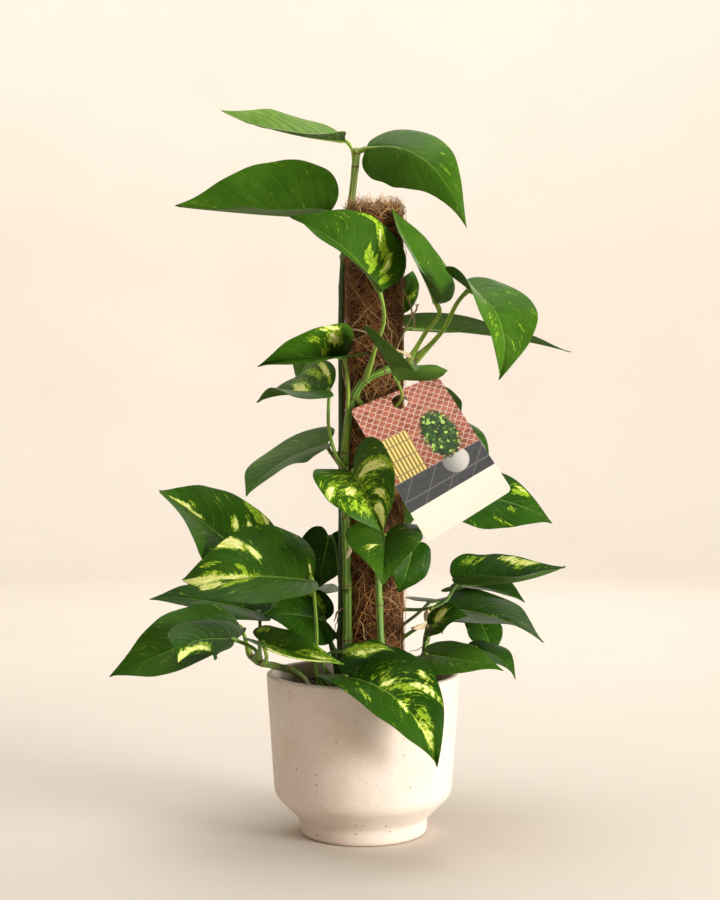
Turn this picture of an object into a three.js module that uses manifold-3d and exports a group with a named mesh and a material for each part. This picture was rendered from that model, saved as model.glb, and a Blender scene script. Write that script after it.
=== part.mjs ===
// A potted pothos on a coir pole, in millimetres. +Z is up, -Y is the front, and the origin is the
// middle of the pot's base. Every piece is a solid of its own: pot, soil, stake, coir sleeve, vines,
// leaves with their stalks, twine tie and plant tag.
import * as THREE from "three";
import { mergeVertices } from "three/addons/utils/BufferGeometryUtils.js";
import Module from "manifold-3d";

const wasm = await Module();
wasm.setup();

// ---- Driving dimensions ----
const GAP = 0.3; // air between two pieces that touch

const POT_RIM = 80; // outer radius at the rim
const POT_HEIGHT = 131;
const POT_WALL = 6.5;
const SHOULDER_RADIUS = 73.5; // where the straight wall turns into the chamfer
const SHOULDER_HEIGHT = 32.5;
const FOOT_RADIUS = 52.5;
const FOOT_HEIGHT = 12.5;
const POT_FLOOR = 10; // thickness of the pot's floor
const POT_SEGMENTS = 36;

const SOIL_TOP = 114;
const POLE_AXIS = [9.5, 6]; // where the pole stands
const STAKE_RADIUS = 9;
const STAKE_FOOT = 24;
const STAKE_TOP = 503;
const COIR_RADIUS = 24.5;
const COIR_FOOT = 98;
const COIR_TOP = 513;


const BLADE = 0.8; // thickness of a leaf
const STALK = 1.8; // radius of a petiole

const TAG_WIDTH = 79;
const TAG_LENGTH = 123;
const TAG_THICKNESS = 0.7;
const TAG_CORNER = 4;
const TAG_HOLE = 6.5; // radius of the punched hole
const TAG_HOLE_FROM_TOP = 9.5; // from the top edge to the hole's middle

// ---- Solids ----
const vec = (p) => new THREE.Vector3(p[0], p[1], p[2]);

// A closed geometry as a solid that can be joined and cut.
function solidOf(geometry) {
  const bare = geometry.index ? geometry.toNonIndexed() : geometry.clone();
  bare.deleteAttribute("normal");
  bare.deleteAttribute("uv");
  const merged = mergeVertices(bare, 1e-4);
  const triVerts = new Uint32Array(merged.index.array);
  const made = new wasm.Manifold(
    new wasm.Mesh({ numProp: 3, vertProperties: merged.attributes.position.array, triVerts }),
  );
  if (made.volume() > 0) return made;
  for (let i = 0; i < triVerts.length; i += 3) {
    [triVerts[i + 1], triVerts[i + 2]] = [triVerts[i + 2], triVerts[i + 1]];
  }
  return new wasm.Manifold(
    new wasm.Mesh({ numProp: 3, vertProperties: merged.attributes.position.array, triVerts }),
  );
}

// A solid as a geometry again.
function geometryOf(solid) {
  const mesh = solid.getMesh();
  const points = new Float32Array(mesh.numVert * 3);
  for (let i = 0; i < mesh.numVert; i++) {
    points.set(mesh.vertProperties.subarray(i * mesh.numProp, i * mesh.numProp + 3), i * 3);
  }
  const geometry = new THREE.BufferGeometry();
  geometry.setAttribute("position", new THREE.BufferAttribute(points, 3));
  geometry.setIndex(new THREE.BufferAttribute(mesh.triVerts, 1));
  return geometry;
}

// The largest of the bodies that a cut leaves.
function largestOf(solid) {
  return solid.decompose().reduce((a, b) => (b.volume() > a.volume() ? b : a));
}

// A smooth curve through points; its parameter counts the points, from 0.
function curveOf(points) {
  return new THREE.CatmullRomCurve3(points.map(vec), false, "catmullrom", 0.5);
}

function pointOn(curve, index) {
  return curve.getPoint(index / (curve.points.length - 1));
}

// A round bar along a curve, with flat ends.
function bar(curve, radius, sides, steps) {
  const section = new THREE.Shape();
  for (let i = 0; i < sides; i++) {
    const turn = (i / sides) * 2 * Math.PI;
    const x = radius * Math.cos(turn);
    const y = radius * Math.sin(turn);
    if (i === 0) section.moveTo(x, y);
    else section.lineTo(x, y);
  }
  const geometry = new THREE.ExtrudeGeometry(section, { steps, extrudePath: curve });
  return solidOf(geometry);
}

const group = new THREE.Group();

function add(name, geometry, color, roughness, metalness = 0) {
  const material = new THREE.MeshStandardMaterial({ color, roughness, metalness });
  const mesh = new THREE.Mesh(geometry, material);
  mesh.name = name;
  group.add(mesh);
  return mesh;
}

// ---- Pot: thrown stoneware with a rounded lip, a chamfer and a foot ----
function turned(profile, segments) {
  const points = profile.map(([r, z]) => new THREE.Vector2(r, z));
  return new THREE.LatheGeometry(points, segments).rotateX(Math.PI / 2);
}

// The inside of the pot, from the floor up, moved inwards by clear.
function insideOf(clear) {
  return [
    [FOOT_RADIUS - 7 - clear, POT_FLOOR + clear],
    [FOOT_RADIUS - 2 - clear, POT_FLOOR + 3 + clear],
    [SHOULDER_RADIUS - POT_WALL - clear, SHOULDER_HEIGHT + POT_WALL + clear],
    [POT_RIM - POT_WALL - clear, POT_HEIGHT - POT_WALL / 2],
  ];
}

function potGeometry() {
  const lip = POT_WALL / 2;
  const profile = [
    [0, 0],
    [FOOT_RADIUS - 2.5, 0],
    [FOOT_RADIUS - 0.7, 0.8],
    [FOOT_RADIUS, 2.6],
    [FOOT_RADIUS + 0.6, FOOT_HEIGHT],
    [SHOULDER_RADIUS - 1.2, SHOULDER_HEIGHT - 1.6],
    [SHOULDER_RADIUS, SHOULDER_HEIGHT + 1.2],
    [POT_RIM, POT_HEIGHT - lip],
  ];
  for (let i = 1; i < 5; i++) {
    const turn = (i / 5) * Math.PI;
    profile.push([POT_RIM - lip + lip * Math.cos(turn), POT_HEIGHT - lip + lip * Math.sin(turn)]);
  }
  profile.push(...insideOf(0).reverse(), [0, POT_FLOOR]);
  return turned(profile, POT_SEGMENTS);
}

// ---- Soil: fills the pot, with a lumpy top ----
function soilSolid(holes) {
  const clear = 0.4;
  const rings = 5;
  const inside = insideOf(clear);
  const [low, high] = inside.slice(2);
  const rim = low[0] + ((high[0] - low[0]) * (SOIL_TOP - low[1])) / (high[1] - low[1]);
  const profile = [[0, POT_FLOOR + clear], ...inside.slice(0, 3)];
  for (let i = 0; i <= rings; i++) {
    profile.push([rim * (1 - i / rings), SOIL_TOP]);
  }
  const geometry = turned(profile, POT_SEGMENTS);
  const at = geometry.attributes.position;
  for (let i = 0; i < at.count; i++) {
    const r = Math.hypot(at.getX(i), at.getY(i));
    if (at.getZ(i) < SOIL_TOP - 1 || r > rim - 1) continue;
    const angle = Math.atan2(at.getY(i), at.getX(i));
    const ring = Math.round((r / rim) * rings);
    const lump = 2.2 * Math.sin(3 * angle + 1.7 * ring) + 1.3 * Math.cos(7 * angle - 2.3 * ring);
    at.setZ(i, SOIL_TOP + 3 * (1 - r / rim) + (ring === 0 ? 0 : lump));
  }
  return holes.reduce((soil, hole) => soil.subtract(hole), solidOf(geometry));
}

// ---- Coir pole: a wooden stake in a sleeve of wound fibre ----
function upright(radius, low, high, segments) {
  const profile = [
    [0, low],
    [radius, low],
    [radius, high],
    [0, high],
  ];
  return turned(profile, segments).translate(POLE_AXIS[0], POLE_AXIS[1], 0);
}

function coirSolid() {
  const rings = 14;
  const profile = [[0, COIR_FOOT]];
  for (let i = 0; i <= rings; i++) {
    profile.push([COIR_RADIUS, COIR_FOOT + ((COIR_TOP - COIR_FOOT) * i) / rings]);
  }
  profile.push([STAKE_RADIUS + 7, COIR_TOP + 4]);
  profile.push([0, COIR_TOP + 4]);
  const geometry = turned(profile, 20);
  const at = geometry.attributes.position;
  for (let i = 0; i < at.count; i++) {
    const r = Math.hypot(at.getX(i), at.getY(i));
    if (r < COIR_RADIUS - 1) continue;
    const angle = Math.atan2(at.getY(i), at.getX(i));
    const winding = Math.sin(2 * angle + at.getZ(i) / 9) * 0.4 + Math.sin(5 * angle - at.getZ(i) / 17) * 0.3;
    const grown = (r + winding) / r;
    at.setXY(i, at.getX(i) * grown, at.getY(i) * grown);
  }
  geometry.translate(POLE_AXIS[0], POLE_AXIS[1], 0);
  const bore = upright(STAKE_RADIUS + GAP, COIR_FOOT - 5, COIR_TOP + 10, 16);
  return solidOf(geometry).subtract(solidOf(bore));
}

// ---- Vines ----
// Each vine stands in the soil at its first point. Roots are short bars that grow out of it.
const VINES = {
  main: {
    radius: 3.9,
    steps: 24,
    route: [
      [-13, -22, 90], [-13, -17, 150], [-13, -15, 200], [-14, -14.5, 250], [-15, -13, 300],
      [-13, -15, 335], [-7, -19.5, 358], [1, -23, 371], [14, -24.5, 378], [28, -22, 383], [43, -19, 388],
    ],
    roots: [
      [[-13, -15, 188], [-21, -19, 182], [-24, -24, 176]],
      [[2, -23, 371], [10, -26, 382], [17, -25, 386]],
    ],
  },
  tall: {
    radius: 2.7,
    steps: 24,
    route: [
      [-24, 24, 90], [-19, 18, 160], [-18, 16, 260], [-18, 16, 360], [-18, 16, 430], [-16, 21, 480],
      [-11.5, 26, 514], [-8, 26, 542], [-5, 24, 570],
    ],
    roots: [],
  },
  front: {
    radius: 3.2,
    steps: 10,
    route: [[15, -44, 90], [14.5, -39, 150], [13, -36, 195], [12, -34, 228]],
    roots: [[[14, -38, 160], [22, -38, 152], [27, -41, 140]]],
  },
  left: {
    radius: 3,
    steps: 12,
    route: [
      [-36, -22, 92], [-42, -22, 118], [-54, -24, 134], [-70, -26, 139.5], [-84, -28, 143],
      [-92, -28, 149],
    ],
    roots: [],
  },
  near: {
    radius: 2.8,
    steps: 8,
    route: [[-22, -38, 92], [-25, -42, 112], [-27, -46, 125], [-26, -51, 135]],
    roots: [],
  },
  right: {
    radius: 3,
    steps: 10,
    route: [[46, -16, 92], [49, -16, 130], [52, -15, 160], [57, -12, 186]],
    roots: [
      [[50, -16, 140], [58, -18, 150], [66, -14, 158]],
      [[49, -16, 128], [42, -22, 140], [34, -26, 152]],
    ],
  },
  back: {
    radius: 3.2,
    steps: 20,
    route: [
      [26, 44, 90], [22, 38, 160], [18, 35.5, 220], [14, 35, 280], [8, 35, 340], [3, 35, 395], [1, 36, 428],
    ],
    roots: [],
  },
};

for (const vine of Object.values(VINES)) vine.curve = curveOf(vine.route);

function vineSolid({ curve, radius, steps, roots }, extra = 0) {
  const stem = bar(curve, radius + extra, 8, steps);
  return roots.reduce((all, root) => all.add(bar(curveOf(root), 0.9 + extra, 5, 4)), stem);
}

// ---- Leaves ----
// A blade is a heart: lobe is how far its back lobes reach past the stalk, as a share of its length.
// t runs from a lobe's back (0) past the widest part (0.4) to the tip (1).
function outline(t, lobe) {
  const bezier = (p, s) =>
    p[0] * (1 - s) ** 3 + 3 * p[1] * s * (1 - s) ** 2 + 3 * p[2] * s * s * (1 - s) + p[3] * s ** 3;
  if (t < 0.4) {
    const s = t / 0.4;
    return [bezier([-lobe, -lobe * 1.05, 0.06, 0.3], s), bezier([0.38, 0.8, 1, 1], s)];
  }
  const s = (t - 0.4) / 0.6;
  return [bezier([0.3, 0.6, 0.76, 1], s), bezier([1, 1, 0.28, 0], s)];
}

// The frame of a leaf: its midrib is a bow from base to tip, with up as the side that the sun sees.
function leafFrame(leaf) {
  const base = vec(leaf.base);
  const chord = vec(leaf.tip).sub(base);
  const along = chord.clone().normalize();
  const up = vec(leaf.up);
  up.addScaledVector(along, -up.dot(along)).normalize();
  const side = along.clone().cross(up);
  const lift = up.clone().multiplyScalar(4 * leaf.arch).addScaledVector(side, 4 * leaf.bow);
  return { base, chord, up, lift };
}

// A point of the blade's middle surface: a along the midrib, across as a share of the half width.
function bladePoint(leaf, frame, a, across) {
  const inner = Math.max(a, 0);
  const centre = frame.base.clone().addScaledVector(frame.chord, a);
  centre.addScaledVector(frame.lift, a < 0 ? a : a * (1 - a));
  const along = frame.chord.clone().addScaledVector(frame.lift, 1 - 2 * inner).normalize();
  const up = frame.up.clone().addScaledVector(along, -frame.up.dot(along)).normalize();
  const side = along.clone().cross(up);
  const turn = THREE.MathUtils.degToRad(leaf.twist) * (inner - 0.25);
  up.applyAxisAngle(along, turn);
  side.applyAxisAngle(along, turn);
  const half = leaf.width / 2;
  const reach = Math.abs(across);
  const fold = THREE.MathUtils.degToRad(leaf.fold);
  const wave = leaf.wave * reach * reach * Math.sin(9 * a + (across > 0 ? 0.6 : 2.4) + leaf.phase);
  const tipDrop = leaf.droop * Math.max(0, (inner - 0.6) / 0.4) ** 2;
  const height = half * (reach * Math.sin(fold) - leaf.curl * reach * reach) + wave - tipDrop;
  centre.addScaledVector(side, half * across * Math.cos(fold));
  return centre.addScaledVector(up, height);
}

// Rows of points across the blade, from its back lobes to its tip, the same on both faces.
function bladeGrid(leaf, frame, rows, columns) {
  const grid = [];
  for (let i = 0; i < rows; i++) {
    const t = i / rows;
    const rib = t ** 1.6;
    const [edge, reach] = outline(t, leaf.lobe);
    const row = [];
    for (let j = -columns; j <= columns; j++) {
      const q = Math.abs(j) / columns;
      const sweep = q + 0.8 * (1 - t) ** 3 * q * (1 - q);
      row.push(bladePoint(leaf, frame, rib + (edge - rib) * sweep, (reach * j) / columns));
    }
    grid.push(row);
  }
  return { grid, tip: bladePoint(leaf, frame, 1, 0) };
}

function bladeSolid(leaf, frame) {
  const rows = 7;
  const columns = 2;
  const { grid, tip } = bladeGrid(leaf, frame, rows, columns);
  const wide = 2 * columns + 1;
  const middle = grid.flat().concat(tip);
  const last = middle.length - 1;
  const faces = [];
  for (let i = 0; i < rows - 1; i++) {
    for (let j = 0; j < wide - 1; j++) {
      const a = i * wide + j;
      const b = a + wide;
      if (j < columns) faces.push([a, a + 1, b], [a + 1, b + 1, b]);
      else faces.push([a, a + 1, b + 1], [a, b + 1, b]);
    }
  }
  for (let j = 0; j < wide - 1; j++) faces.push([last - wide + j, last - wide + j + 1, last]);
  const normals = middle.map(() => new THREE.Vector3());
  for (const [a, b, c] of faces) {
    const ab = middle[b].clone().sub(middle[a]);
    const ac = middle[c].clone().sub(middle[a]);
    const normal = ab.cross(ac);
    for (const k of [a, b, c]) normals[k].add(normal);
  }
  normals.forEach((n) => n.normalize());
  const points = [];
  for (const sign of [1, -1]) {
    middle.forEach((p, i) => points.push(p.clone().addScaledVector(normals[i], (sign * BLADE) / 2)));
  }
  const count = middle.length;
  const all = faces.concat(faces.map(([a, b, c]) => [a + count, c + count, b + count]));
  const edges = [];
  for (let j = 0; j < wide - 1; j++) edges.push([j + 1, j]);
  for (let i = 0; i < rows; i++) {
    const next = i === rows - 1 ? last : (i + 1) * wide;
    const nextRight = i === rows - 1 ? last : (i + 1) * wide + wide - 1;
    edges.push([i * wide, next]);
    edges.push([nextRight, i * wide + wide - 1]);
  }
  for (const [a, b] of edges) all.push([a, b, b + count], [a, b + count, a + count]);
  const geometry = new THREE.BufferGeometry().setFromPoints(points);
  geometry.setIndex(all.flat());
  return solidOf(geometry);
}

// The petiole leaves its vine, passes its via points and ends under the blade's base.
function stalkCurve(leaf, frame) {
  const start = pointOn(VINES[leaf.vine].curve, leaf.at).toArray();
  const end = bladePoint(leaf, frame, 0.03, 0);
  end.addScaledVector(frame.up, -STALK * 0.5);
  return curveOf([start, ...(leaf.via ?? []), leaf.base, end.toArray()]);
}

function leafSolid(leaf) {
  const frame = leafFrame(leaf);
  const vine = VINES[leaf.vine];
  const points = 2 + (leaf.via ?? []).length;
  const stalk = bar(stalkCurve(leaf, frame), leaf.stalk, 5, 2 * points);
  const seat = vineSolid(vine, GAP);
  return largestOf(bladeSolid(leaf, frame).add(stalk.subtract(seat)));
}

// What a leaf is like where its own line says nothing else.
const USUAL = {
  up: [0, -0.6, 0.8], width: 64, fold: 16, curl: 0.16, arch: 6, bow: 0, twist: 0, droop: 4,
  wave: 1.2, phase: 0, lobe: 0.15, stalk: STALK, via: [],
};

const LEAVES = {
  // out over the top of the pole
  top_young: {
    vine: "tall", at: 7.5, via: [[-9, 23.5, 569]], base: [-14.2, 22.6, 576.4],
    tip: [-117.5, -9.8, 594.3], up: [0.26, -0.32, 0.91], width: 58, fold: 22, curl: 0.03,
    arch: -4.5, bow: 0.9, twist: -53, droop: -1, lobe: -0.03, wave: 1.6, stalk: 1.6,
  },
  top_right: {
    vine: "tall", at: 7.9, base: [3.5, 21, 569.5], tip: [84.3, -27, 494.1],
    up: [-0.19, -0.91, 0.37], width: 58, fold: -9, curl: 0.31, arch: 22.9, bow: -15.6, twist: -7,
    droop: -1, lobe: 0.02,
  },
  top_left: {
    vine: "tall", at: 5.3, via: [[-25, 22, 504]], base: [-31, 14.9, 511.4],
    tip: [-158.9, 18.3, 521], up: [0.04, -0.67, 0.75], width: 99, fold: 38, curl: 0.02,
    arch: -3.1, bow: 2.4, twist: -1, droop: 0, lobe: 0.07,
  },
  pole_top: {
    vine: "main", at: 7.1, via: [[9, -31, 394], [17, -37, 420]], base: [13.3, -42.4, 441.6],
    tip: [-58.8, -45.2, 500.1], up: [0.55, -0.53, 0.65], width: 90, fold: 25, curl: -0.01,
    arch: 8.3, bow: 2.8, twist: -23, droop: -1, lobe: 0.01, stalk: 2.1,
  },
  upper_fold: {
    vine: "main", at: 9.6, via: [[50, -18, 409], [62, -17, 425]], base: [60.5, -19.3, 433.7],
    tip: [21.2, -12.6, 510.7], up: [0.84, -0.29, 0.46], width: 82, fold: 15, curl: -0.03,
    arch: 1.8, bow: -1.3, twist: -25, droop: -5, lobe: 0, wave: 2.4, stalk: 2.3,
  },
  behind_small: {
    vine: "back", at: 5.9, via: [[18, 40, 426]], base: [31.4, 37, 439.6],
    tip: [44.3, 40.6, 471.3], up: [0.28, -0.96, 0], width: 23, fold: 19, arch: 4.4, bow: 0.1,
    twist: -2,
  },
  behind_long: {
    vine: "back", at: 5.3, via: [[22, 44, 408]], base: [39.1, 45.9, 420.2],
    tip: [183, 63.2, 401.7], up: [0.11, 0.15, 0.98], width: 68, curl: 0.11, arch: 5.6, bow: -5,
    twist: 21, droop: 1, lobe: 0.1,
  },
  right_hanging: {
    vine: "main", at: 9.95, via: [[64, -19, 411], [77, -20, 435]], base: [87, -22.7, 445.6],
    tip: [109.8, -49.2, 369], up: [0.61, -0.68, 0.42], width: 73, fold: 27, curl: 0.08, arch: 19,
    bow: 0.8, twist: 29, droop: 5, lobe: 0.16, stalk: 2.4,
  },
  // round the middle of the pole
  mid_upper_left: {
    vine: "main", at: 4.3, via: [[-13, -27, 339], [-12, -36, 366]], base: [-15.2, -39.6, 389.1],
    tip: [-85.7, -63.9, 381], up: [0.24, -0.86, 0.46], width: 56, fold: 58, curl: -0.01,
    arch: 13.8, bow: -4.2, twist: -26, droop: 5, lobe: 0.07,
  },
  mid_under_left: {
    vine: "main", at: 4, via: [[-22.5, -28, 312], [-28, -26.5, 335]], base: [-27.6, -25.9, 362.8],
    tip: [-88.6, -13.2, 358.3], up: [-0.15, -0.4, 0.9], width: 74, fold: 24, curl: 0.11,
    arch: 1.4, bow: -1.3, twist: 35, lobe: 0.08,
  },
  mid_narrow: {
    vine: "main", at: 6, via: [[8, -27, 345], [21, -25, 347], [31, -37, 357]],
    base: [26.8, -55.2, 370.5], tip: [41.1, -106.2, 375.2], up: [0.49, 0.22, 0.84], width: 85,
    fold: 30, curl: 0, arch: -0.3, bow: 10.9, twist: 13, droop: 1, lobe: 0.07, stalk: 1.5,
  },
  mid_left: {
    vine: "tall", at: 2.5, via: [[-26, 10, 312]], base: [-30.8, 6.4, 320],
    tip: [-96.9, -18.6, 278.3], up: [-0.43, -0.28, 0.86], width: 88, fold: 13, curl: 0.14,
    arch: 3.6, bow: 11.5, droop: 2, lobe: 0.08,
  },
  centre_heart: {
    vine: "main", at: 3.2, via: [[-12, -32, 272]], base: [-8.6, -56.5, 297.4],
    tip: [16.1, -81.5, 249.2], up: [-0.16, -0.91, 0.39], width: 77, fold: 38, curl: 0.03,
    arch: 10.8, bow: -1.6, twist: 6, droop: 3, lobe: 0.1,
  },
  behind_tag: {
    vine: "main", at: 9.7, via: [[50, -6, 368], [60, -4, 350]], base: [67, -8, 342], tip: [106, -20, 312],
    up: [0.6, -0.3, 0.7], width: 36, arch: 4, lobe: 0.06,
  },
  right_behind_tag: {
    vine: "back", at: 3, via: [[38, 22, 272], [48, 4, 276]], base: [58.5, -15.4, 281.6],
    tip: [160, -3.4, 256.9], up: [0.26, -0.55, 0.8], width: 79, fold: 7, curl: 0.14, arch: 7.4,
    bow: 1.4, twist: 17, droop: 5,
  },
  low_heart: {
    vine: "front", at: 2.9, base: [17, -47, 246], tip: [15, -94, 214], up: [0, -0.5, 0.86],
    width: 68, fold: 28, curl: 0.2, arch: 5, lobe: 0.3,
  },
  low_dark_right: {
    vine: "front", at: 2.5, via: [[28, -30, 222]], base: [40, -28, 236], tip: [29, -30, 198],
    up: [0.3, -0.95, 0.1], width: 36, arch: 3,
  },
  low_dark_left: {
    vine: "tall", at: 1.5, via: [[-24, 24, 238]], base: [-29, 31, 241], tip: [-38, 35, 196],
    up: [-0.2, -0.95, 0.1], width: 46, fold: 12, arch: 3,
  },
  // low on the left, out past the rim
  left_back: {
    vine: "tall", at: 0.95, via: [[-56, 14, 186]], base: [-96.1, 7.3, 224.8],
    tip: [-167.4, -22.7, 281.7], up: [0.65, -0.54, 0.54], width: 95, fold: 18, curl: 0.11,
    arch: -4.5, bow: 7.3, twist: 9, droop: -2, lobe: 0.23,
  },
  left_broad: {
    vine: "near", at: 1.2, via: [[-37, -42, 136], [-37, -44, 170]], base: [-40.2, -50.2, 210.7],
    tip: [-147.8, -39.1, 213.2], up: [-0.03, -0.5, 0.87], width: 110, fold: 23, curl: 0.12,
    arch: 6.1, bow: -4.2, twist: -38, droop: 5, lobe: 0.02,
  },
  left_edge_on: {
    vine: "left", at: 4, via: [[-86, 6, 160]], base: [-88, 28, 176.6], tip: [-180, 15, 192.8],
    up: [0.21, -0.4, 0.89], width: 53, fold: 17, curl: 0.15, arch: 2.9, bow: 0.6, twist: -7,
    lobe: 0.1,
  },
  left_low_dark: {
    vine: "left", at: 4.95, base: [-99, -22.3, 170.2], tip: [-203.8, -35.1, 131.4],
    up: [-0.25, -0.49, 0.83], width: 76, curl: 0.03, arch: 6.1, bow: -3.4, twist: -43, droop: -2,
    lobe: 0,
  },
  left_low_small: {
    vine: "left", at: 4.4, via: [[-86, -48, 156]], base: [-101, -64.2, 166.3],
    tip: [-139.3, -95.3, 158.1], up: [0.06, -0.32, 0.94], fold: 3, curl: 0.07, arch: -0.9,
    bow: 15.7, twist: -23, droop: 6, lobe: 0.03,
  },
  left_inner_dark: {
    vine: "tall", at: 0.5, base: [-32, 10, 172], tip: [-82, -6, 180], up: [0, -0.8, 0.6],
    width: 56, arch: 4,
  },
  rim_left: {
    vine: "left", at: 3.7, via: [[-77, -46, 150]], base: [-79.1, -59.5, 163.1],
    tip: [-14.2, -88.3, 150.8], up: [-0.14, -0.64, 0.75], width: 33, fold: 43, curl: 0.08,
    arch: 6.4, bow: 5.3, twist: 26, droop: 1, lobe: 0.2,
  },
  rim_curled: {
    vine: "near", at: 2.95, via: [[-32, -56, 147], [-27, -68, 156]], base: [-14, -77, 158.5],
    tip: [26, -82, 162], up: [0, -0.45, 0.9], width: 24, fold: 2, arch: 3, lobe: 0.05, stalk: 1.4,
  },
  rim_front: {
    vine: "near", at: 2.3, via: [[-33, -56, 136]], base: [-15.2, -73.2, 138.8],
    tip: [58.5, -101.7, 72.9], up: [0.36, -0.64, 0.68], width: 79, fold: 25, curl: 0.07,
    arch: 23.3, bow: -0.3, twist: 27, droop: 5, lobe: 0.1,
  },
  // low on the right
  right_level: {
    vine: "right", at: 2.9, via: [[68, -8, 190]], base: [78.3, 2.5, 203.7],
    tip: [170.2, 10.2, 217.2], up: [-0.12, -0.24, 0.96], width: 79, fold: 32, curl: 0.1,
    arch: -4.5, bow: 2.7, twist: -2, droop: -1, lobe: 0.06,
  },
  right_second: {
    vine: "back", at: 1.3, via: [[58, 50, 178]], base: [82.3, 55.2, 192.5],
    tip: [138.3, 26, 186.5], up: [-0.01, -0.22, 0.97], width: 47, fold: 26, curl: 0.1, arch: 5.9,
    bow: -0.6, twist: 13, droop: 1,
  },
  right_dark: {
    vine: "right", at: 2.05, via: [[61, -2, 170]], base: [74.9, 6.7, 182],
    tip: [147.3, -34, 161.4], up: [0.09, -0.31, 0.94], width: 75, fold: 15, curl: 0.15, arch: 4.6,
    bow: -2.1, twist: -25, droop: 2, lobe: 0.1,
  },
  right_small: {
    vine: "right", at: 2, via: [[52, -28, 168]], base: [55, -40, 174], tip: [82, -60, 186],
    up: [-0.1, -0.7, 0.7], width: 32, arch: 3, stalk: 1.4,
  },
  right_rim: {
    vine: "right", at: 1.3, via: [[48, -32, 150]], base: [50.2, -44.7, 151.8],
    tip: [108.5, -83.3, 145.6], up: [-0.15, -0.37, 0.92], width: 52, fold: 9, curl: 0.17, arch: 4,
    bow: 3.8, twist: -4, droop: 1, lobe: 0.11,
  },
  right_hung: {
    vine: "back", at: 0.8, via: [[60, 42, 168]], base: [98, 36, 172], tip: [111, 26, 138],
    up: [0.3, -0.9, 0.3], width: 34, arch: 4,
  },
  right_lowest: {
    vine: "back", at: 0.55, via: [[60, 24, 142]], base: [92, 4, 150], tip: [128, -14, 129],
    up: [0.4, -0.4, 0.8], width: 36, arch: 5,
  },
  // behind the pole
  back_high: {
    vine: "back", at: 5.95, via: [[2, 50, 450]], base: [2, 62, 484], tip: [8, 114, 462],
    up: [0, 0.5, 0.87], width: 50, arch: 9,
  },
  back_upper_right: {
    vine: "back", at: 4.5, via: [[26, 52, 358]], base: [42, 66, 366], tip: [84, 112, 326],
    up: [0.4, 0.5, 0.77], width: 62, arch: 9,
  },
  back_upper_left: {
    vine: "back", at: 4.9, via: [[-8, 54, 392]], base: [-22, 62, 408], tip: [-62, 112, 378],
    up: [-0.3, 0.5, 0.8], width: 56, arch: 8,
  },
  back_middle: {
    vine: "back", at: 2.9, via: [[18, 60, 280]], base: [20, 80, 280], tip: [30, 138, 226],
    up: [0.1, 0.6, 0.8], width: 70, arch: 11,
  },
  back_right: {
    vine: "back", at: 2.6, via: [[40, 48, 276]], base: [62, 50, 288], tip: [118, 78, 258],
    up: [0.4, 0.2, 0.9], width: 54, arch: 8,
  },
  back_low_left: {
    vine: "tall", at: 0.7, via: [[-36, 46, 170]], base: [-46, 64, 190], tip: [-94, 124, 160],
    up: [-0.3, 0.45, 0.85], width: 72, arch: 11,
  },
  back_low_right: {
    vine: "back", at: 0.95, via: [[46, 64, 170]], base: [60, 77, 181], tip: [108, 128, 148],
    up: [0.3, 0.45, 0.85], width: 64, arch: 10,
  },
  back_rim: {
    vine: "back", at: 0.5, via: [[16, 64, 146]], base: [8, 76, 156], tip: [2, 134, 106],
    up: [0, 0.6, 0.8], width: 64, arch: 11,
  },
};

// ---- Twine tie: one loose turn round the pole and the tall vine, knotted at the right ----
// The turn, as degrees round the pole from +X, distance from the pole's axis, height.
const TIE_TURN = [
  [0, 31.8, 427.5],
  [12, 30.6, 437],
  [25, 28, 447],
  [50, 26.5, 461],
  [90, 26.5, 456],
  [130, 27.5, 436],
  [148, 32, 425],
  [160, 34.2, 419],
  [172, 32, 416],
  [194, 26.8, 414],
  [224, 26.5, 414],
  [254, 26.5, 411],
  [284, 26.5, 401],
  [308, 26.5, 396],
  [322, 26.8, 405],
  [337, 27.8, 415],
  [350, 30.4, 423.5],
];

function tieSolid() {
  const around = TIE_TURN.map(([degrees, out, height]) => {
    const turn = (degrees / 180) * Math.PI;
    return [POLE_AXIS[0] + out * Math.cos(turn), POLE_AXIS[1] + out * Math.sin(turn), height];
  });
  const ring = new THREE.CatmullRomCurve3(around.map(vec), true, "catmullrom", 0.5);
  const knotAt = around[0];
  const knot = solidOf(new THREE.IcosahedronGeometry(2.4, 0).translate(...knotAt));
  const [x, y, z] = knotAt;
  const ends = [
    [knotAt, [x + 3, y - 2, z + 4], [x + 4, y - 3, z + 9]],
    [knotAt, [x + 1.5, y - 4, z - 5], [x + 1, y - 6, z - 11]],
  ];
  const loop = bar(ring, 0.8, 4, 34).add(knot);
  return ends.reduce((all, end) => all.add(bar(curveOf(end), 0.7, 4, 4)), loop);
}

// ---- Plant tag: a printed card with a punched hole, bent a little as it leans on what is behind ----
const TAG_CORNERS = {
  topLeft: vec([-10.5, -42, 347]),
  topRight: vec([60.7, -16, 376.5]),
  lowLeft: vec([50.9, -64, 242]),
  lowRight: vec([115.8, -73, 284]),
};

// The card's front at u across and v down, both in millimetres on the flat card.
function tagPoint(u, v) {
  const { topLeft, topRight, lowLeft, lowRight } = TAG_CORNERS;
  const top = topLeft.clone().lerp(topRight, u / TAG_WIDTH);
  const low = lowLeft.clone().lerp(lowRight, u / TAG_WIDTH);
  return top.lerp(low, v / TAG_LENGTH);
}

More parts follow.
